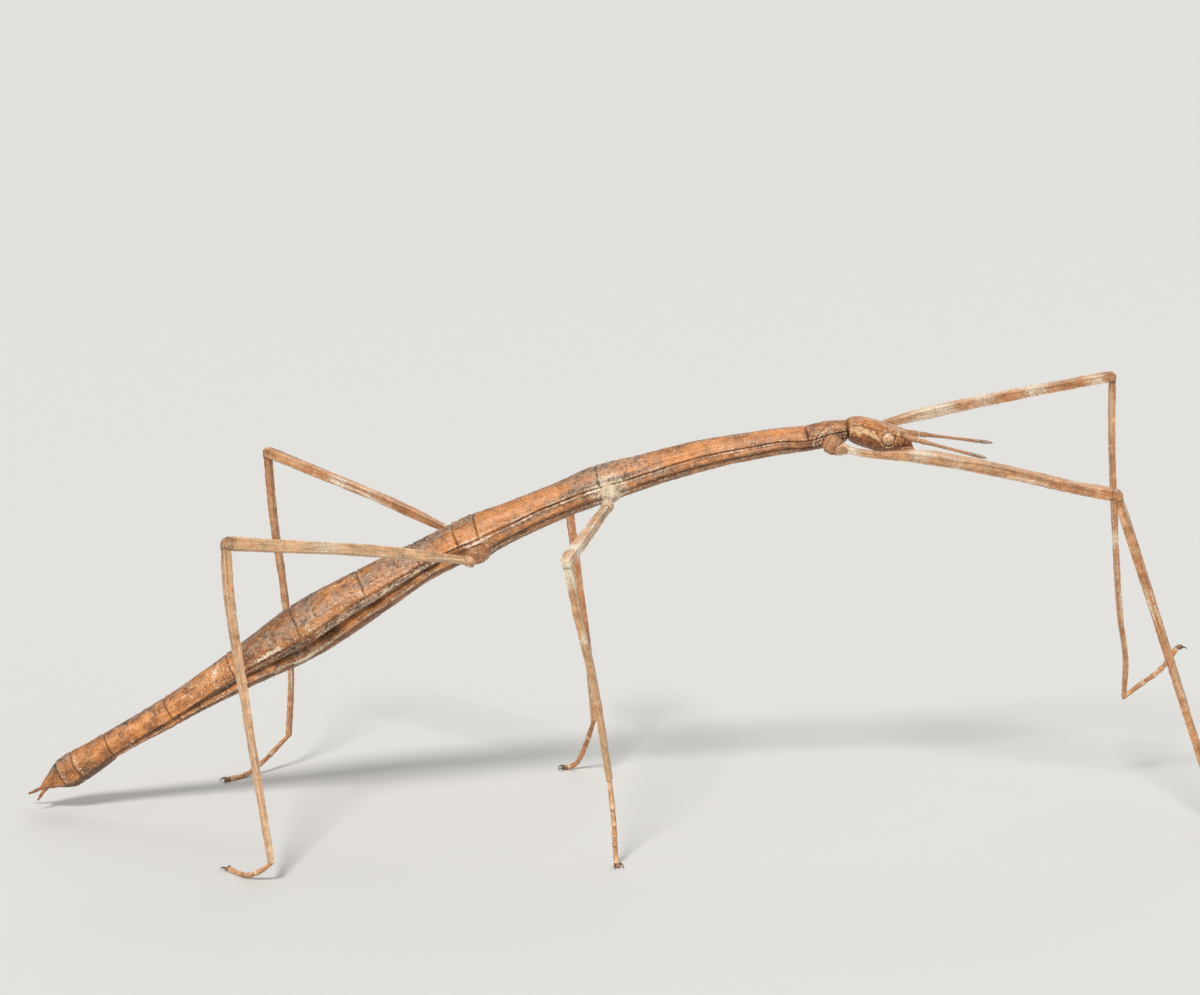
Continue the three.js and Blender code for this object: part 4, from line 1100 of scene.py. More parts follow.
mouth_shells = [short_limb(LOWER_LIP["points"], LOWER_LIP["width"], 1, flat=0.5, tone=0.5)]
for side in (-1, 1):
    mouth_shells.append(short_limb(mirrored(JAW["points"], side), JAW["width"], 1, flat=0.8, tone=0.45))
    for palp in PALPS.values():
        points = mirrored(palp["points"], side)
        mouth_shells.append(short_limb(points, palp["width"], palp["joints"], tone=0.8))
mouth = piece_from_shells("mouth_palps", mouth_shells, MOUTH_SHELL)
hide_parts("mouthparts")
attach(mouth, "root")

# %% [markdown]
# ## The end of the tail
# Under the last three rings lies a scoop, a keeled plate that holds the eggs, and beside the tip
# stand two short tail feelers. The scoop follows the trunk's own sizes, so that it closes against
# the plates above it.

# %% The scoop
SCOOP = {"rear": -51.9, "front": -46.0, "width": 0.84, "drop": 0.52, "top": 0.30}


def scoop_shell():
    share = np.linspace(0, 1, 120)
    angle = np.linspace(-np.pi, np.pi, 84, endpoint=False)
    share, angle = np.meshgrid(share, angle, indexing="ij")
    x = SCOOP["rear"] + (SCOOP["front"] - SCOOP["rear"]) * share
    taper = np.sqrt(np.clip(0.1 + 3.2 * share, 0, 1)) * np.sqrt(np.clip((1 - share) / 0.06, 0.02, 1))
    half_height = size_at(TRUNK, HEIGHT, x) / 2
    half_width = size_at(TRUNK, WIDTH, x) / 2 * SCOOP["width"]
    lie = np.stack([x, half_width * np.sin(angle), half_width * np.cos(angle)], axis=-1)
    below = np.maximum(0, -np.cos(angle))
    keel = 0.06 * near(np.degrees(np.abs(angle)), 180, 9)
    rough = 0.025 * unevenness(lie, 0.3, 21) + 0.03 * unevenness(lie * (0.3, 1, 1), 0.35, 22)
    depth = SCOOP["top"] + 0.25 + (SCOOP["drop"] * below + 0.25 * (below - 1) + keel) * taper
    rise = -(half_height * depth + rough * below)
    slope = (size_at(TRUNK, Z, x + 0.2) - size_at(TRUNK, Z, x - 0.2)) / 0.4
    lean = np.hypot(1, slope)
    points = np.stack([x - slope / lean * rise, -np.sin(angle) * (half_width * taper + rough),
                       size_at(TRUNK, Z, x) + rise / lean], axis=-1)
    flank = np.degrees(np.abs(angle))
    return shell(points, lie, tone=0.1, pale=0.35 * near(flank, 96, 6) * taper,
                 dark=0.5 + 0.25 * near(flank, 140, 40), grime=0.4, hair=0.3, grain=0.4)


TAIL_FEELERS = {
    "right": [(-51.6, -0.42, 2.75), (-52.35, -0.6, 2.05), (-53.05, -0.82, 1.05)],
    "left": [(-51.9, 0.42, 2.55), (-52.9, 0.6, 1.85), (-54.2, 0.84, 1.2)],
}
scoop = piece_from_shells("tail_scoop", [scoop_shell()], BODY_SHELL)
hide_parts("operculum")
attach(scoop, "root")
tail_feelers = {}
for side_name, points in TAIL_FEELERS.items():
    cone = short_limb(points, 0.5, 1, sides=36, rings=70, tone=0.35, grow=-0.55)
    tail_feelers[side_name] = piece_from_shells(f"tail_feeler_{side_name}", [cone], BODY_SHELL)
    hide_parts(f"cercus_{side_name}")
    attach(tail_feelers[side_name], "root")

# %% [markdown]
# ## The legs
# Each leg is a chain of stiff tubes: a round hip ball, a short ring, the long femur, the tibia and
# five foot joints. Femur and tibia are square, with a finely toothed keel along each corner. At
# the knee the tibia's head reaches back into the femur's end. All of one leg is one mesh of
# closed shells that sit inside each other at the joints.

# %% Leg sizes and pose
LEG_SIZES = {
    "fore": {
        "coxa": 1.85, "tarsus": 0.52,
        "femur": [(0, 0.62), (0.13, 0.64), (0.3, 1.14), (0.5, 1.12), (0.8, 1.05), (0.96, 1.08), (1, 1.0)],
        "tibia": [(0, 0.7), (0.05, 0.78), (0.4, 0.7), (0.8, 0.62), (1, 0.53)],
    },
    "middle": {
        "coxa": 1.75, "tarsus": 0.54,
        "femur": [(0, 0.72), (0.1, 0.84), (0.5, 0.94), (0.85, 1.04), (0.96, 1.12), (1, 1.04)],
        "tibia": [(0, 0.7), (0.05, 0.78), (0.4, 0.7), (0.9, 0.59), (1, 0.55)],
    },
    "hind": {
        "coxa": 1.8, "tarsus": 0.5,
        "femur": [(0, 0.6), (0.08, 0.68), (0.25, 0.94), (0.4, 0.98), (0.85, 1.05), (0.96, 1.1), (1, 1.04)],
        "tibia": [(0, 0.74), (0.05, 0.82), (0.3, 0.76), (0.65, 0.65), (1, 0.56)],
    },
}
# Each leg's hip, femur, tibia and foot points, then its colour, from straw to orange, which on the
# far middle and hind legs is partly painted shade, and the pale bands along femur and tibia as
# (share, half length, strength).
LEGS = {
    "fore_right": {
        "pair": "fore", "girth": 1.07, "shin": 1.2, "warmth_and_shade": 0.6, "knee": 0.2,
        "femur": [(22.35, -1.9, 35.05), (25.2, -2.45, 34.65), (29.4, -3.4, 34.65), (35.6, -4.95, 33.85),
                  (43.0, -6.8, 32.5), (46.8, -7.7, 31.95)],
        "tibia": [(46.8, -7.7, 31.95), (50.4, -7.55, 21.5), (57.2, -7.3, 1.6)],
        "tarsus": [(57.2, -7.3, 1.6), (58.7, -8.45, 0.6), (60.6, -10.0, 0.28), (62.2, -11.4, 0.2)],
        "bands": [(0.02, 0.04, 0.5), (0.27, 0.06, 0.35), (0.42, 0.05, 0.35), (0.62, 0.04, 0.25)],
        "shin_bands": [(0.03, 0.03, 0.4), (0.35, 0.05, 0.2)],
    },
    "fore_left": {
        "pair": "fore", "girth": 0.9, "shin": 0.85, "warmth_and_shade": 0.5, "knee": 0.2,
        "femur": [(22.35, 1.95, 35.3), (24.5, 2.5, 36.0), (29.3, 2.75, 37.3), (38.2, 3.45, 39.1),
                  (47.8, 4.2, 40.8)],
        "tibia": [(47.8, 4.2, 40.8), (48.05, 4.8, 34.5), (48.7, 5.6, 26.4), (49.6, 6.4, 17.3),
                  (50.35, 6.85, 12.8), (50.35, 7.2, 8.95)],
        "tarsus": [(50.35, 7.2, 8.95), (52.1, 7.35, 10.3), (53.7, 7.5, 11.45), (55.0, 7.65, 13.1),
                   (55.35, 7.75, 13.7)],
        "bands": [(0.3, 0.05, 0.35), (0.45, 0.1, 0.42), (0.72, 0.05, 0.35), (0.93, 0.04, 0.35)],
        "shin_bands": [(0.5, 0.03, 0.3)],
    },
    "middle_right": {
        "pair": "middle", "girth": 1.04, "shin": 1.08, "warmth_and_shade": 0.1, "knee": -0.3,
        "femur": [(0.6, -2.7, 29.7), (-0.9, -9.8, 29.15), (-2.9, -19.5, 28.5)],
        "tibia": [(-2.9, -19.5, 28.5), (-1.9, -18.6, 23.4), (-0.5, -17.4, 16.7), (0.85, -15.8, 7.6)],
        "tarsus": [(0.85, -15.8, 7.6), (1.25, -16.55, 3.7), (1.4, -17.0, 1.0), (1.5, -17.4, 0.2)],
        "bands": [(0.05, 0.1, 0.4), (0.4, 0.2, 0.25), (0.8, 0.13, 0.75)],
        "shin_bands": [(0.06, 0.06, 0.55), (0.34, 0.025, 0.9), (0.6, 0.2, 0.2)],
    },
    # Painted shade in part: this leg, on the far side, gets the most orange-brown colour.
    "middle_left": {
        "pair": "middle", "girth": 1.08, "shin": 1.08, "warmth_and_shade": 1.0, "knee": 0.0,
        "femur": [(0.5, 2.7, 29.7), (-1.4, 10.9, 28.1), (-3.25, 19.1, 26.5)],
        "tibia": [(-3.25, 19.1, 26.5), (-2.25, 16.2, 19.45), (-1.15, 12.95, 11.85), (-0.6, 10.3, 5.7)],
        "tarsus": [(-0.6, 10.3, 5.7), (-1.5, 12.1, 2.5), (-2.35, 12.95, 0.6), (-3.2, 12.9, 0.2)],
        "bands": [(0.5, 0.1, 0.15)], "shin_bands": [(0.5, 0.1, 0.15)],
    },
    "hind_right": {
        "pair": "hind", "girth": 1.16, "shin": 1.07, "warmth_and_shade": 0.12, "knee": 0.35,
        "femur": [(-12.3, -2.65, 24.7), (-21.8, -7.2, 26.75), (-30.7, -11.4, 28.15), (-33.4, -12.7, 28.6)],
        "tibia": [(-33.4, -12.7, 28.6), (-33.0, -14.3, 23.9), (-31.3, -17.65, 14.15), (-29.0, -21.9, 1.8)],
        "tarsus": [(-29.0, -21.9, 1.8), (-30.0, -21.6, 0.95), (-31.3, -20.8, 0.3), (-33.0, -18.9, 0.2)],
        "bands": [(0.35, 0.1, 0.3), (0.6, 0.1, 0.25)],
        "shin_bands": [(0.45, 0.1, 0.2), (0.85, 0.1, 0.25)],
    },
    # Painted shade in part: this far leg is darkened towards orange-brown.
    "hind_left": {
        "pair": "hind", "girth": 0.95, "shin": 0.88, "warmth_and_shade": 0.75, "knee": 0.2,
        "femur": [(-12.6, 2.7, 25.6), (-20.1, 7.5, 28.1), (-26.5, 11.6, 29.85), (-32.3, 15.4, 31.35)],
        "tibia": [(-32.3, 15.4, 31.35), (-31.85, 15.0, 25.4), (-30.8, 14.45, 17.0), (-30.3, 14.0, 9.4),
                  (-30.6, 13.6, 3.3)],
        "tarsus": [(-30.6, 13.6, 3.3), (-33.1, 11.5, 1.1), (-34.4, 10.4, 0.32), (-36.0, 9.0, 0.2)],
        "bands": [(0.45, 0.07, 0.5), (0.62, 0.05, 0.45)], "shin_bands": [(0.9, 0.1, 0.2)],
    },
}
print("legs:", list(LEGS))

# %% Leg sections
KEEL_REACH = 1.30   # from the middle to a keel, over half the listed width
FACE_REACH = 0.86   # from the middle to the hollow face between two keels
KEEL_ROUND = 0.06   # how much the keel's sharp edge is worn away
KEEL_TEETH = 0.035  # mm, height of the fine teeth along a keel
LEG_SLIM = 0.97     # the skin against the listed widths; the knee ends are wider than the CAD's
HALF_FACE = np.pi / 4


def from_keel(angle):
    """The angle to the nearest of the four keels, from 0 on it to 45 degrees on a face."""
    return np.abs(angle % (2 * HALF_FACE) - HALF_FACE)


def square_section(angle):
    """The reach of a square whose faces run straight from each keel to a hollow middle."""
    turn = from_keel(angle)
    crossing = KEEL_REACH * np.sin(turn) + FACE_REACH * np.sin(HALF_FACE - turn)
    straight = KEEL_REACH * FACE_REACH * np.sin(HALF_FACE) / crossing
    return straight - KEEL_ROUND * near(np.degrees(turn), 0, 5)


def keel_line(angle):
    return near(np.degrees(from_keel(angle)), 0, 8)


def interp_width(table, share):
    stations = np.array([(x, width) for x, width in table], float)
    return size_at(stations, 1, share)


def bands_at(bands, share):
    total = np.zeros_like(share)
    for place, half, strength in bands:
        total = total + strength * near(share, place, half)
    return total


def long_joint(leg, part, seed, start):
    """A femur or a tibia."""
    points = leg[part]
    table = LEG_SIZES[leg["pair"]][part]
    femur = part == "femur"
    girth = leg["girth"] if femur else leg["shin"]
    length = follow(points, np.array([0.0, 1.0]))[2]
    head = 0.0 if femur else 0.34 / length  # the tibia's head reaches back into the knee
    tail = 0.22 / length if femur else 0.12 / length
    share = eased(330 if femur else 340, -head, 1 + tail)

    def reach(share_grid, angle, along):
        width = interp_width(table, share_grid) * girth * LEG_SLIM
        cap = rounded(along + head * length, length * (1 + head + tail), 0.2, 0.14)
        if not femur:
            width = width * (1 + 0.18 * near(along, 0.15, 0.4) - 0.08 * near(along, 0.75, 0.3))
        slim = width / 2 * square_section(angle) * cap
        lie = np.stack([along, slim * np.sin(angle), slim * np.cos(angle)], axis=-1)
        teeth = KEEL_TEETH * keel_line(angle) * unevenness(lie, 0.22, seed)
        fibres = 0.016 * unevenness(lie * (0.08, 1, 1), 0.13, seed + 1)
        lumps = 0.025 * unevenness(lie, 1.6, seed + 2)
        ribs = 0.02 * np.cos(12 * from_keel(angle)) * unevenness(lie * (0.1, 0.5, 0.5), 0.6, seed + 5)
        return slim + (teeth + fibres + lumps + ribs) * cap

    grid, lie, share_grid, angle, along = tube(points, share, 48, leg_normal(leg), reach, start)
    knee = near(share_grid, 1 if femur else 0, 0.04)
    joint = near(along, length - 0.4, 0.07) if femur else near(along, 0.5, 0.09)
    keel = keel_line(angle)
    cloudy = unevenness(lie * (0.5, 1, 1), 1.1, seed + 4)
    strand = unevenness(lie * (0.05, 1, 1), 0.2, seed + 6)
    line = near(strand, 0, 0.14)
    # Tone from straw to orange-brown, which on the far legs is partly painted shade.
    warmth_and_shade = leg["warmth_and_shade"] + 0.35 * unevenness(lie, 5.0, seed + 3) + 0.3 * cloudy + leg["knee"] * knee
    pale = bands_at(leg["bands" if femur else "shin_bands"], share_grid)
    pale = pale * (0.7 + 0.9 * cloudy) + 0.2 * keel + 0.16 + 0.12 * cloudy - knee * leg["knee"]
    pale += 0.3 * ramp(strand, 0.3, 0.6) * (1 - keel)
    dark = 0.7 * joint + 0.42 * line * (1 - keel) * (0.6 + 0.4 * femur)
    dark += 0.2 * near(from_keel(angle), 0.25, 0.1)
    grime = 0.2 + 0.15 * cloudy + np.maximum(leg["knee"], 0) * knee
    return shell(grid, lie, tone=warmth_and_shade, pale=pale, dark=dark, grime=grime, grain=0.5 * keel,
                 hair=0.4 * keel + 0.6 * knee)


def leg_normal(leg):
    hip, knee, ankle = [np.array(leg[part][0]) for part in ("femur", "tibia", "tarsus")]
    normal = np.cross(knee - hip, ankle - knee)
    return normal / np.linalg.norm(normal)


print("a leg 1 mm wide measures", round(LEG_SLIM * KEEL_REACH, 2), "mm from keel to keel")

# %% Hips, feet and whole legs
FOOT_JOINTS = [0.0, 0.36, 0.55, 0.68, 0.78, 1.0]
FOOT_SWELL = 0.2
HIP_LENGTH = {"fore": 1.0, "middle": 1.0, "hind": 1.35}  # a hind hip is more a barrel than a ball
HIP_SEAMS = (0.36, 0.74)  # the two grooves round a hip, as shares of its length
RING_LENGTH = 0.6         # mm, how far the ring reaches along the femur
RING_WIDTH = {"fore": 1.2, "middle": 1.1, "hind": 1.05}


def seam_lines(along, size, shift=0.0):
    """Lines along the two grooves of a hip, or beside them."""
    first, last = [near(along, (seam + shift) * size, 0.05) for seam in HIP_SEAMS]
    return first + last


def hip_shells(name, leg):
    """The round hip and the short ring that carries the femur."""
    size = LEG_SIZES[leg["pair"]]["coxa"]
    long = HIP_LENGTH[leg["pair"]]
    ringed = 1.0 if leg["pair"] == "fore" else 0.2
    middle = np.array(COXAE[name])
    hip = np.array(leg["femur"][0])
    away = (hip - middle) / np.linalg.norm(hip - middle)
    side = np.cross(away, (0.0, 0.0, 1.0))
    side /= np.linalg.norm(side)
    base = leg["femur"][1] - hip
    base = base / np.linalg.norm(base)
    ball_path = [middle - 0.5 * size * away, middle, hip + 0.15 * away]
    share = eased(90)
    length = follow(ball_path, share)[2]
    neck = LEG_SIZES[leg["pair"]]["femur"][0][1] * leg["girth"] * 1.3
    collar = RING_WIDTH[leg["pair"]]

    def ball_reach(share_grid, angle, along):
        bulb = size * np.clip(1 - np.abs((along - 0.5 * size) / (0.5 * size * long)) ** 2.4, 0.003, 1) ** 0.5
        throat = neck * ramp(along, 0.3 * size, 0.6 * size) * rounded(along, length, 0.2, 0.15)
        width = np.maximum(bulb, throat)
        lie = np.stack([along, width / 2 * np.sin(angle), width / 2 * np.cos(angle)], axis=-1)
        seams = seam_lines(along, size)
        rough = (0.06 * unevenness(lie, 0.5, 30) + 0.04 * unevenness(lie, 0.3, 31)
                 + 0.025 * unevenness(lie, 0.18, 32))
        return width / 2 + rough - 0.04 * ringed * seams

    grid, lie, share_grid, angle, along = tube(ball_path, share, 64, side, ball_reach)
    lines = ringed * seam_lines(along, size)
    arcs = ringed * seam_lines(along, size, shift=0.06)
    cloudy = unevenness(lie, 0.5, 33)
    bright = 0.55 * (leg["pair"] == "middle")
    ball = shell(grid, lie, tone=1.0 - 0.4 * bright + 0.4 * cloudy,
                 pale=0.1 + bright + 0.3 * arcs + 0.3 * cloudy,
                 dark=0.5 * lines + 0.25 * (1 - bright) + 0.4 * (1 - ramp(along, 0.0, 0.2 * size)),
                 grime=0.3 - 0.3 * cloudy,
                 grain=0.7, hair=0.2)

    ring_path = [hip - 0.85 * base, hip - 0.1 * base, hip + RING_LENGTH * base]
    ring_share = eased(40)
    ring_length = follow(ring_path, ring_share)[2]

    def ring_reach(share_grid, angle, along):
        width = collar * (1.05 - 0.45 * ramp(share_grid, 0.3, 1.0)) * rounded(along, ring_length, 0.3, 0.12)
        lie = np.stack([along, width * np.sin(angle), width * np.cos(angle)], axis=-1)
        return width / 2 * (1 + 0.04 * np.cos(4 * angle)) + 0.06 * unevenness(lie, 0.35, 34)

    grid, lie, share_grid, angle, along = tube(ring_path, ring_share, 48, side, ring_reach)
    cloudy = unevenness(lie, 0.4, 35)
    trochanter = shell(grid, lie + (40, 0, 0), tone=0.7 + 0.4 * cloudy, pale=0.4 + 0.5 * cloudy,
                       dark=0.55 * near(share_grid, 0.88, 0.06) + np.maximum(0, -0.7 * cloudy),
                       grime=0.3 - 0.3 * cloudy, hair=0.4, grain=0.5)
    return [ball, trochanter]


def foot_shells(leg, start):
    size = LEG_SIZES[leg["pair"]]["tarsus"]
    shells = []
    length = follow(leg["tarsus"], np.array([0.0, 1.0]))[2]
    for number, (first, last) in enumerate(zip(FOOT_JOINTS[:-1], FOOT_JOINTS[1:])):
        back = first - (0.16 / length if number else 0.2 / length)
        share = eased(46 if number in (0, 4) else 26, back, last + 0.05 / length)

        def reach(share_grid, angle, along):
            inside = (share_grid - back) / (last - back)
            width = size * (0.78 + 1.2 * FOOT_SWELL * np.clip(inside, 0, 1) ** 2)
            from_start = along - back * length
            width = width * rounded(from_start, (last - back) * length + 0.05, 0.18, 0.16)
            pad = 1 + 0.16 * near(np.cos(angle), -1, 0.5) * near(inside, 0.85, 0.25)
            lie = np.stack([along, width / 2 * np.sin(angle), width / 2 * np.cos(angle)], axis=-1)
            return width / 2 * pad + 0.012 * unevenness(lie, 0.15, 41 + number)

        grid, lie, share_grid, angle, along = tube(leg["tarsus"], share, 30, leg_normal(leg), reach, start)
        inside = (share_grid - first) / (last - first)
        grid[..., 2] = np.maximum(grid[..., 2], 0.0)
        clear = ramp(grid[..., 2], 0.3, 0.6)
        shells.append(shell(grid, lie, tone=0.5 + 0.5 * leg["warmth_and_shade"],
                            pale=0.4 * near(inside, 0.9, 0.12) + 0.15,
                            dark=0.6 * near(inside, 0.02, 0.07), grime=0.3,
                            hair=0.8 * clear, grain=0.1 * clear))
    return shells


skins = {}
for number, (name, leg) in enumerate(LEGS.items()):
    parts = hip_shells(name, leg)
    parts.append(long_joint(leg, "femur", 50 + 10 * number, 3.0))
    parts.append(long_joint(leg, "tibia", 55 + 10 * number, 60.0))
    parts += foot_shells(leg, 120.0)
    skins[name] = piece_from_shells(f"skin_leg_{name}", parts, LEG_SHELL)
    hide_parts(*[f"{part}_{name}" for part in ("coxa", "femur", "tibia", "tarsus")])
    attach(skins[name], "root")

# %% [markdown]
# ## The claws
# Each foot ends in two curved claws with a soft pad between them, so that it can hook into bark
# or cling to a leaf. The pad sits just ahead of the last foot joint, and the claws curve over it.

# %% Claws
CLAW_SHELL = cuticle_material("claw_shell", {
    "back": "4a2b1a", "belly": "b08058", "cream": "e0c49c", "bloom": "95806d", "dust": "6d5847",
    "fold": "1a0e08"}, 0.008, **{
    "Patch Size": 0.3, "Streak Length": 0.8, "Streak Width": 0.05, "Grain Size": 0.06, "Fibre": 0.2,
    "Dullness": 0.3})
CLAW = {"length": 0.85, "spread": 0.42, "root": 0.28, "arch": 0.08, "curl": 0.26}
PAD = {"length": 0.55, "width": 0.5, "height": 0.4}


def claw_shells(leg):
    share = np.array([0.98, 1.0])
    place, tangent, _ = follow(leg["tarsus"], share)
    toe = place[1]
    ahead = np.array([tangent[1][0], tangent[1][1], 0.0])
    ahead /= np.linalg.norm(ahead)
    left = np.cross((0.0, 0.0, 1.0), ahead)
    upward = np.array([0.0, 0.0, 1.0])

    def spot(forward, sideways, rise):
        return toe + forward * ahead + sideways * left + rise * upward

    pad_path = [spot(-0.05, 0, 0), spot(PAD["length"] * 0.5, 0, 0), spot(PAD["length"] + 0.08, 0, -0.02)]

    def pad_reach(share_grid, angle, along):
        dome = np.sqrt(np.clip(1 - (2 * share_grid - 1) ** 2, 0.01, 1))
        return 0.5 * dome * (PAD["height"] + (PAD["width"] - PAD["height"]) * np.sin(angle) ** 2)

    grid, lie, share_grid, angle, _ = tube(pad_path, eased(30), 28, left, pad_reach)
    grid[..., 2] = np.maximum(grid[..., 2], 0.0)
    shells = [shell(grid, lie, tone=0.1, pale=0.2, grime=0.2, dark=0.2 * near(share_grid, 0, 0.2))]
    for side in (-1, 1):
        hook = [spot(0.0, side * PAD["width"] * 0.2, CLAW["arch"] * 0.5),
                spot(CLAW["length"] * 0.55, side * CLAW["spread"] * 0.8, CLAW["arch"] * 1.7),
                spot(CLAW["length"] * 0.95, side * CLAW["spread"] * 0.95, CLAW["arch"] * 0.3),
                spot(CLAW["length"] + 0.08, side * CLAW["spread"] * 0.9, -CLAW["curl"] * 0.6)]

        def hook_reach(share_grid, angle, along):
            return 0.5 * CLAW["root"] * (1.02 - share_grid) ** 0.7 * (1 - 0.3 * np.abs(np.sin(angle)))

        grid, lie, share_grid, angle, _ = tube(hook, eased(36), 20, left, hook_reach)
        grid[..., 2] = np.maximum(grid[..., 2], 0.0)
        shells.append(shell(grid, lie, tone=0.3 + 0.7 * share_grid, dark=0.3 * share_grid, hair=0.0))
    return shells


for name, leg in LEGS.items():
    claws = piece_from_shells(f"claw_pair_{name}", claw_shells(leg), CLAW_SHELL)
    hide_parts(f"claws_{name}")
    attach(claws, "root")

# %% [markdown]
# ## Grains and hairs
# Under a lens the shell is set with tiny grains, and short hairs stand along the keels, the feet
# and the belly. They repeat over a surface, so one Geometry Nodes tree scatters them: it reads a
# mark on the skin as the density and turns each shape to the skin's normal, with a lean.

# %% Scatter tree
def make_scatter_tree(name, mark, shape_kind, shape_inputs):
    tree = bpy.data.node_groups.new(name, "GeometryNodeTree")
    for socket, kind in (("Skin", "NodeSocketGeometry"), ("Per Square Millimetre", "NodeSocketFloat"),
                         ("Seed", "NodeSocketInt"), ("Shortest", "NodeSocketFloat"),
                         ("Longest", "NodeSocketFloat"),
                         ("Width", "NodeSocketFloat"), ("Lean", "NodeSocketFloat"),
                         ("Material", "NodeSocketMaterial")):
        tree.interface.new_socket(socket, in_out="INPUT", socket_type=kind)
    tree.interface.new_socket("Scattered", in_out="OUTPUT", socket_type="NodeSocketGeometry")
    given = add_node(tree, "NodeGroupInput").outputs
    amount = add_node(tree, "GeometryNodeInputNamedAttribute", {"Name": mark}, data_type="FLOAT")
    dense = maths(tree, "MULTIPLY", given["Per Square Millimetre"], 1 / MM ** 2)
    density = maths(tree, "MULTIPLY", amount.outputs["Attribute"], dense)
    spread = add_node(tree, "GeometryNodeDistributePointsOnFaces", {
        "Mesh": given["Skin"], "Density": density, "Seed": given["Seed"]}, distribute_method="RANDOM")
    shape = add_node(tree, shape_kind, shape_inputs)
    length = add_node(tree, "FunctionNodeRandomValue", {"Min": given["Shortest"], "Max": given["Longest"],
                      "Seed": given["Seed"]}, data_type="FLOAT")
    size = add_node(tree, "ShaderNodeCombineXYZ", {0: given["Width"], 1: given["Width"]})
    tree.links.new(length.outputs["Value"], size.inputs[2])
    tilt = add_node(tree, "FunctionNodeRandomValue", data_type="FLOAT_VECTOR")
    tilt.inputs["Min"].default_value = (-1, -1, -3)
    tilt.inputs["Max"].default_value = (1, 1, 3)
    leaned = add_node(tree, "ShaderNodeVectorMath", {0: tilt.outputs["Value"]}, operation="MULTIPLY")
    lean = add_node(tree, "ShaderNodeCombineXYZ", {0: given["Lean"], 1: given["Lean"], 2: 1.0})
    tree.links.new(lean.outputs[0], leaned.inputs[1])
    turned = add_node(tree, "FunctionNodeRotateRotation", {
        "Rotation": spread.outputs["Rotation"], "Rotate By": leaned.outputs[0]}, rotation_space="LOCAL")
    placed = add_node(tree, "GeometryNodeInstanceOnPoints", {
        "Points": spread.outputs["Points"], "Instance": shape.outputs[0],
        "Rotation": turned.outputs[0], "Scale": size.outputs[0]})
    solid = add_node(tree, "GeometryNodeRealizeInstances", {0: placed.outputs[0]})
    smooth = add_node(tree, "GeometryNodeSetShadeSmooth", {"Geometry": solid.outputs[0]})
    coloured = add_node(tree, "GeometryNodeSetMaterial", {
        "Geometry": smooth.outputs[0], "Material": given["Material"]})
    add_node(tree, "NodeGroupOutput", {0: coloured.outputs[0]})
    return tree


GRAIN_TREE = make_scatter_tree("Grains", "grain", "GeometryNodeMeshIcoSphere", {
    "Radius": 0.5, "Subdivisions": 1})
HAIR_TREE = make_scatter_tree("Hairs", "hair", "GeometryNodeMeshCone", {
    "Vertices": 5, "Side Segments": 1, "Radius Top": 0.08, "Radius Bottom": 0.5, "Depth": 1.0})


def speck_material(name, colour, other, size, roughness):
    """A plain finish for tiny things, varied from one to the next by place."""
    material = bpy.data.materials.new(name)
    material.use_nodes = True
    tree = material.node_tree
    place = add_node(tree, "ShaderNodeTexCoord").outputs["Object"]
    share = rescale(tree, noise(tree, place, size * MM, detail=2.0), 0.35, 0.65, 0.0, 1.0)
    surface = tree.nodes["Principled BSDF"]
    tree.links.new(blend_colour(tree, share, paint(colour), paint(other)), surface.inputs["Base Color"])
    tree.links.new(rescale(tree, share, 0.0, 1.0, roughness, roughness + 0.15), surface.inputs["Roughness"])
    return material


GRAIN_WAX = speck_material("grain_wax", "c79a6c", "f0dec0", 0.5, 0.45)
HAIR_HORN = speck_material("hair_horn", "8a6548", "dcc6a6", 0.4, 0.4)

# %% The baking map
PATCH = 0.003  # width of one tiny shape on the unwrap of its skin
HAIR_CORNERS = 10
GRAIN_CORNERS = 12


def add_bake_map(piece, corners):
    """A UV map in which each shape, of `corners` points, is a patch at its root's place."""
    mesh = piece.data
    places = np.zeros((len(mesh.vertices), 2))
    for column, name in enumerate(ROOT_PLACE):
        values = np.zeros(len(mesh.vertices))
        mesh.attributes[name].data.foreach_get("value", values)
        places[:, column] = values
    turn = FULL_TURN * (np.arange(len(mesh.vertices)) % corners) / corners
    places += PATCH / 2 * np.stack([np.cos(turn), np.sin(turn)], axis=-1)
    corner = np.zeros(len(mesh.loops), np.int64)
    mesh.loops.foreach_get("vertex_index", corner)
    mesh.uv_layers.new(name="OFBake").data.foreach_set("uv", places[corner].ravel())


print("patch:", PATCH)

# %% Scatter over every skin
GRAINS = {"Per Square Millimetre": 4.5, "Shortest": 0.05 * MM, "Longest": 0.12 * MM, "Width": 0.12 * MM,
          "Lean": 0.1, "Material": GRAIN_WAX}
HEAD_GRAINS = {**GRAINS, "Per Square Millimetre": 14.0, "Longest": 0.14 * MM, "Width": 0.13 * MM}
HAIRS = {"Per Square Millimetre": 2.2, "Shortest": 0.14 * MM, "Longest": 0.42 * MM, "Width": 0.022 * MM,
         "Lean": 0.45, "Material": HAIR_HORN}
carriers = {"trunk": (trunk, "trunk"), "head": (head, "head"), "mouth": (mouth, "mouthparts")}
carriers.update({name: (skin, "leg") for name, skin in skins.items()})
carriers.update({f"feeler_{name}": (feeler, "antenna") for name, feeler in feelers.items()})
carriers["scoop"] = (scoop, "tail")
BARE = ("mouth", "feeler_right", "feeler_left")  # these have hairs but no grains
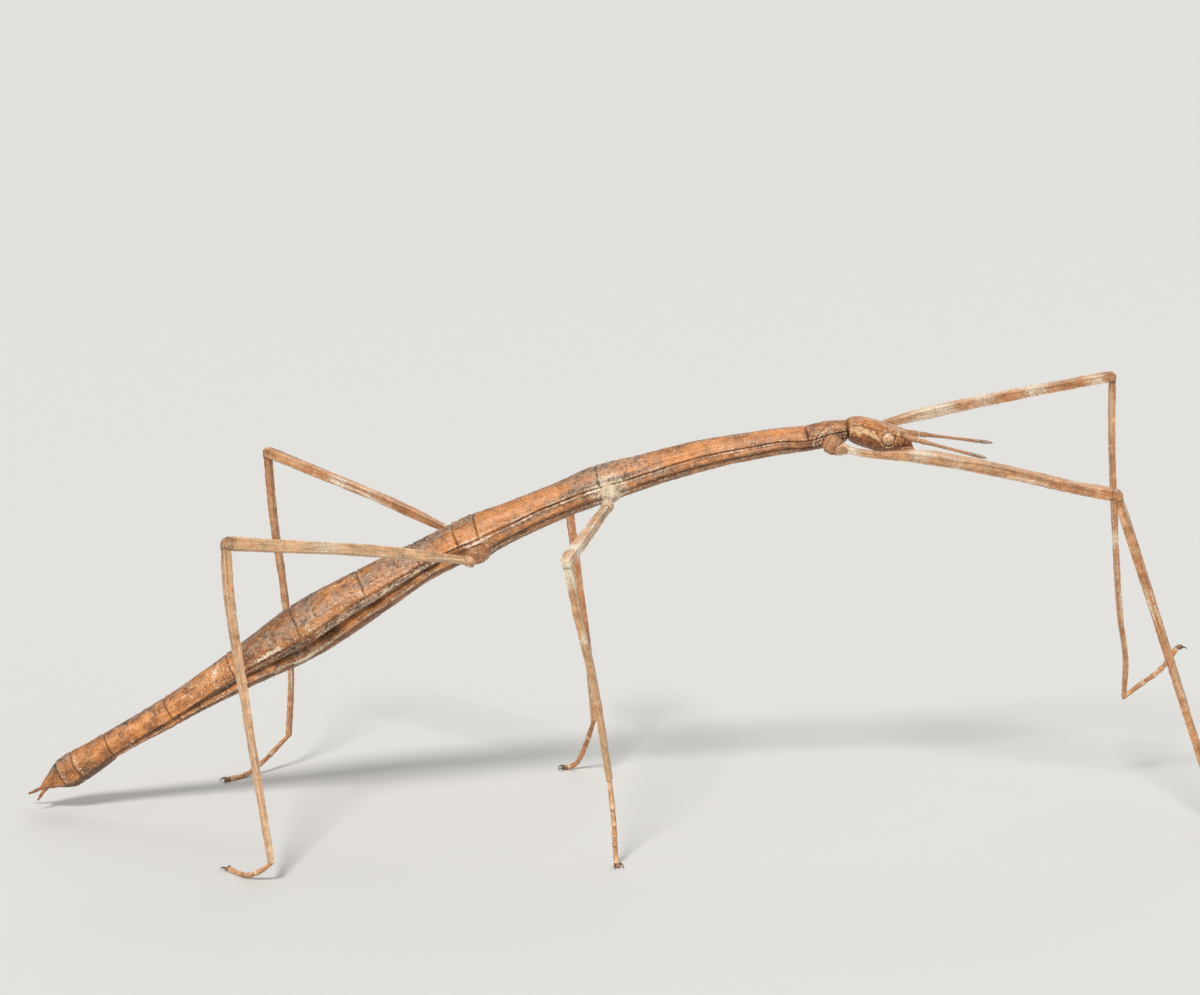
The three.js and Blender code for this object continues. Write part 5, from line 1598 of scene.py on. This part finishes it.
for seed, (name, (skin, slot)) in enumerate(carriers.items()):
    scattered = [run_tree(HAIR_TREE, skin, f"hairs_{name}", {**HAIRS, "Seed": seed})]
    add_bake_map(scattered[0], HAIR_CORNERS)
    if name not in BARE:
        amounts = HEAD_GRAINS if name == "head" else GRAINS
        scattered.append(run_tree(GRAIN_TREE, skin, f"grains_{name}", {**amounts, "Seed": seed + 50}))
        add_bake_map(scattered[1], GRAIN_CORNERS)
    for piece in scattered:
        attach(piece, "root")

# %% [markdown]
# ## Floor, light and camera
# The model stands on a plain pale floor in an even studio. A soft distant light above and to the
# left gives the shell its form and falls evenly on the whole floor. A weak lamp fills the shade,
# and another distant light behind draws the outline.

# %% Floor
FLOOR_SIZE = 3.0


def make_floor():
    mesh = bpy.data.meshes.new("floor")
    half = FLOOR_SIZE / 2
    corners = [(-half, -half, 0), (half, -half, 0), (half, half, 0), (-half, half, 0)]
    mesh.from_pydata(corners, [], [(0, 1, 2, 3)])
    floor = bpy.data.objects.new("floor", mesh)
    bpy.context.scene.collection.objects.link(floor)
    material = bpy.data.materials.new("floor_card")
    material.use_nodes = True
    surface = material.node_tree.nodes["Principled BSDF"]
    surface.inputs["Base Color"].default_value = (0.66, 0.66, 0.65, 1)
    surface.inputs["Roughness"].default_value = 1.0
    surface.inputs["Specular IOR Level"].default_value = 0.0
    mesh.materials.append(material)
    return floor


make_floor()

# %% Lights
def soft_light(name, place, aim, size, power, colour=(1, 1, 1)):
    lamp = bpy.data.lights.new(name, "AREA")
    lamp.shape = "DISK"
    lamp.size = size
    lamp.energy = power
    lamp.color = colour
    holder = bpy.data.objects.new(name, lamp)
    holder.location = place
    holder.rotation_euler = (Vector(aim) - Vector(place)).to_track_quat("-Z", "Y").to_euler()
    bpy.context.scene.collection.objects.link(holder)


def distant_light(name, direction, spread, strength, colour=(1, 1, 1)):
    """A light so far away that it falls evenly on the whole floor; `spread` softens its shadows."""
    lamp = bpy.data.lights.new(name, "SUN")
    lamp.angle = math.radians(spread)
    lamp.energy = strength
    lamp.color = colour
    holder = bpy.data.objects.new(name, lamp)
    holder.rotation_euler = (-Vector(direction)).to_track_quat("-Z", "Y").to_euler()
    bpy.context.scene.collection.objects.link(holder)


distant_light("key", (-0.30, -0.75, 1.0), 14, 2.3, (1.0, 0.97, 0.93))
distant_light("back", (0.35, 1.0, 0.9), 40, 0.8)
soft_light("fill", (0.45, -0.40, 0.18), (0.0, 0.0, 0.022), 0.40, 0.3)
world = bpy.data.worlds.new("studio")
world.use_nodes = True
world.node_tree.nodes["Background"].inputs["Color"].default_value = (0.77, 0.765, 0.75, 1)
world.node_tree.nodes["Background"].inputs["Strength"].default_value = 0.55
bpy.context.scene.world = world
bpy.context.scene.view_settings.view_transform = "Standard"

# %% Camera
CAMERA_RISE = math.radians(12)          # above the horizon
CAMERA_SPREAD = math.radians(20)        # width of the view
CAMERA_AWAY = 0.3157                    # metres to the aim
CAMERA_AIM = Vector((-0.00443, 0.0015, 0.0301))


def make_camera():
    lens = bpy.data.cameras.new("camera")
    lens.sensor_fit = "HORIZONTAL"
    lens.angle = CAMERA_SPREAD
    lens.clip_start = 0.01
    lens.clip_end = 20
    holder = bpy.data.objects.new("camera", lens)
    back = Vector((0, -math.cos(CAMERA_RISE), math.sin(CAMERA_RISE)))
    holder.location = CAMERA_AIM + back * CAMERA_AWAY
    holder.rotation_euler = (-back).to_track_quat("-Z", "Y").to_euler()
    bpy.context.scene.collection.objects.link(holder)
    bpy.context.scene.camera = holder
    print("camera at", [round(v, 4) for v in holder.location])


make_camera()
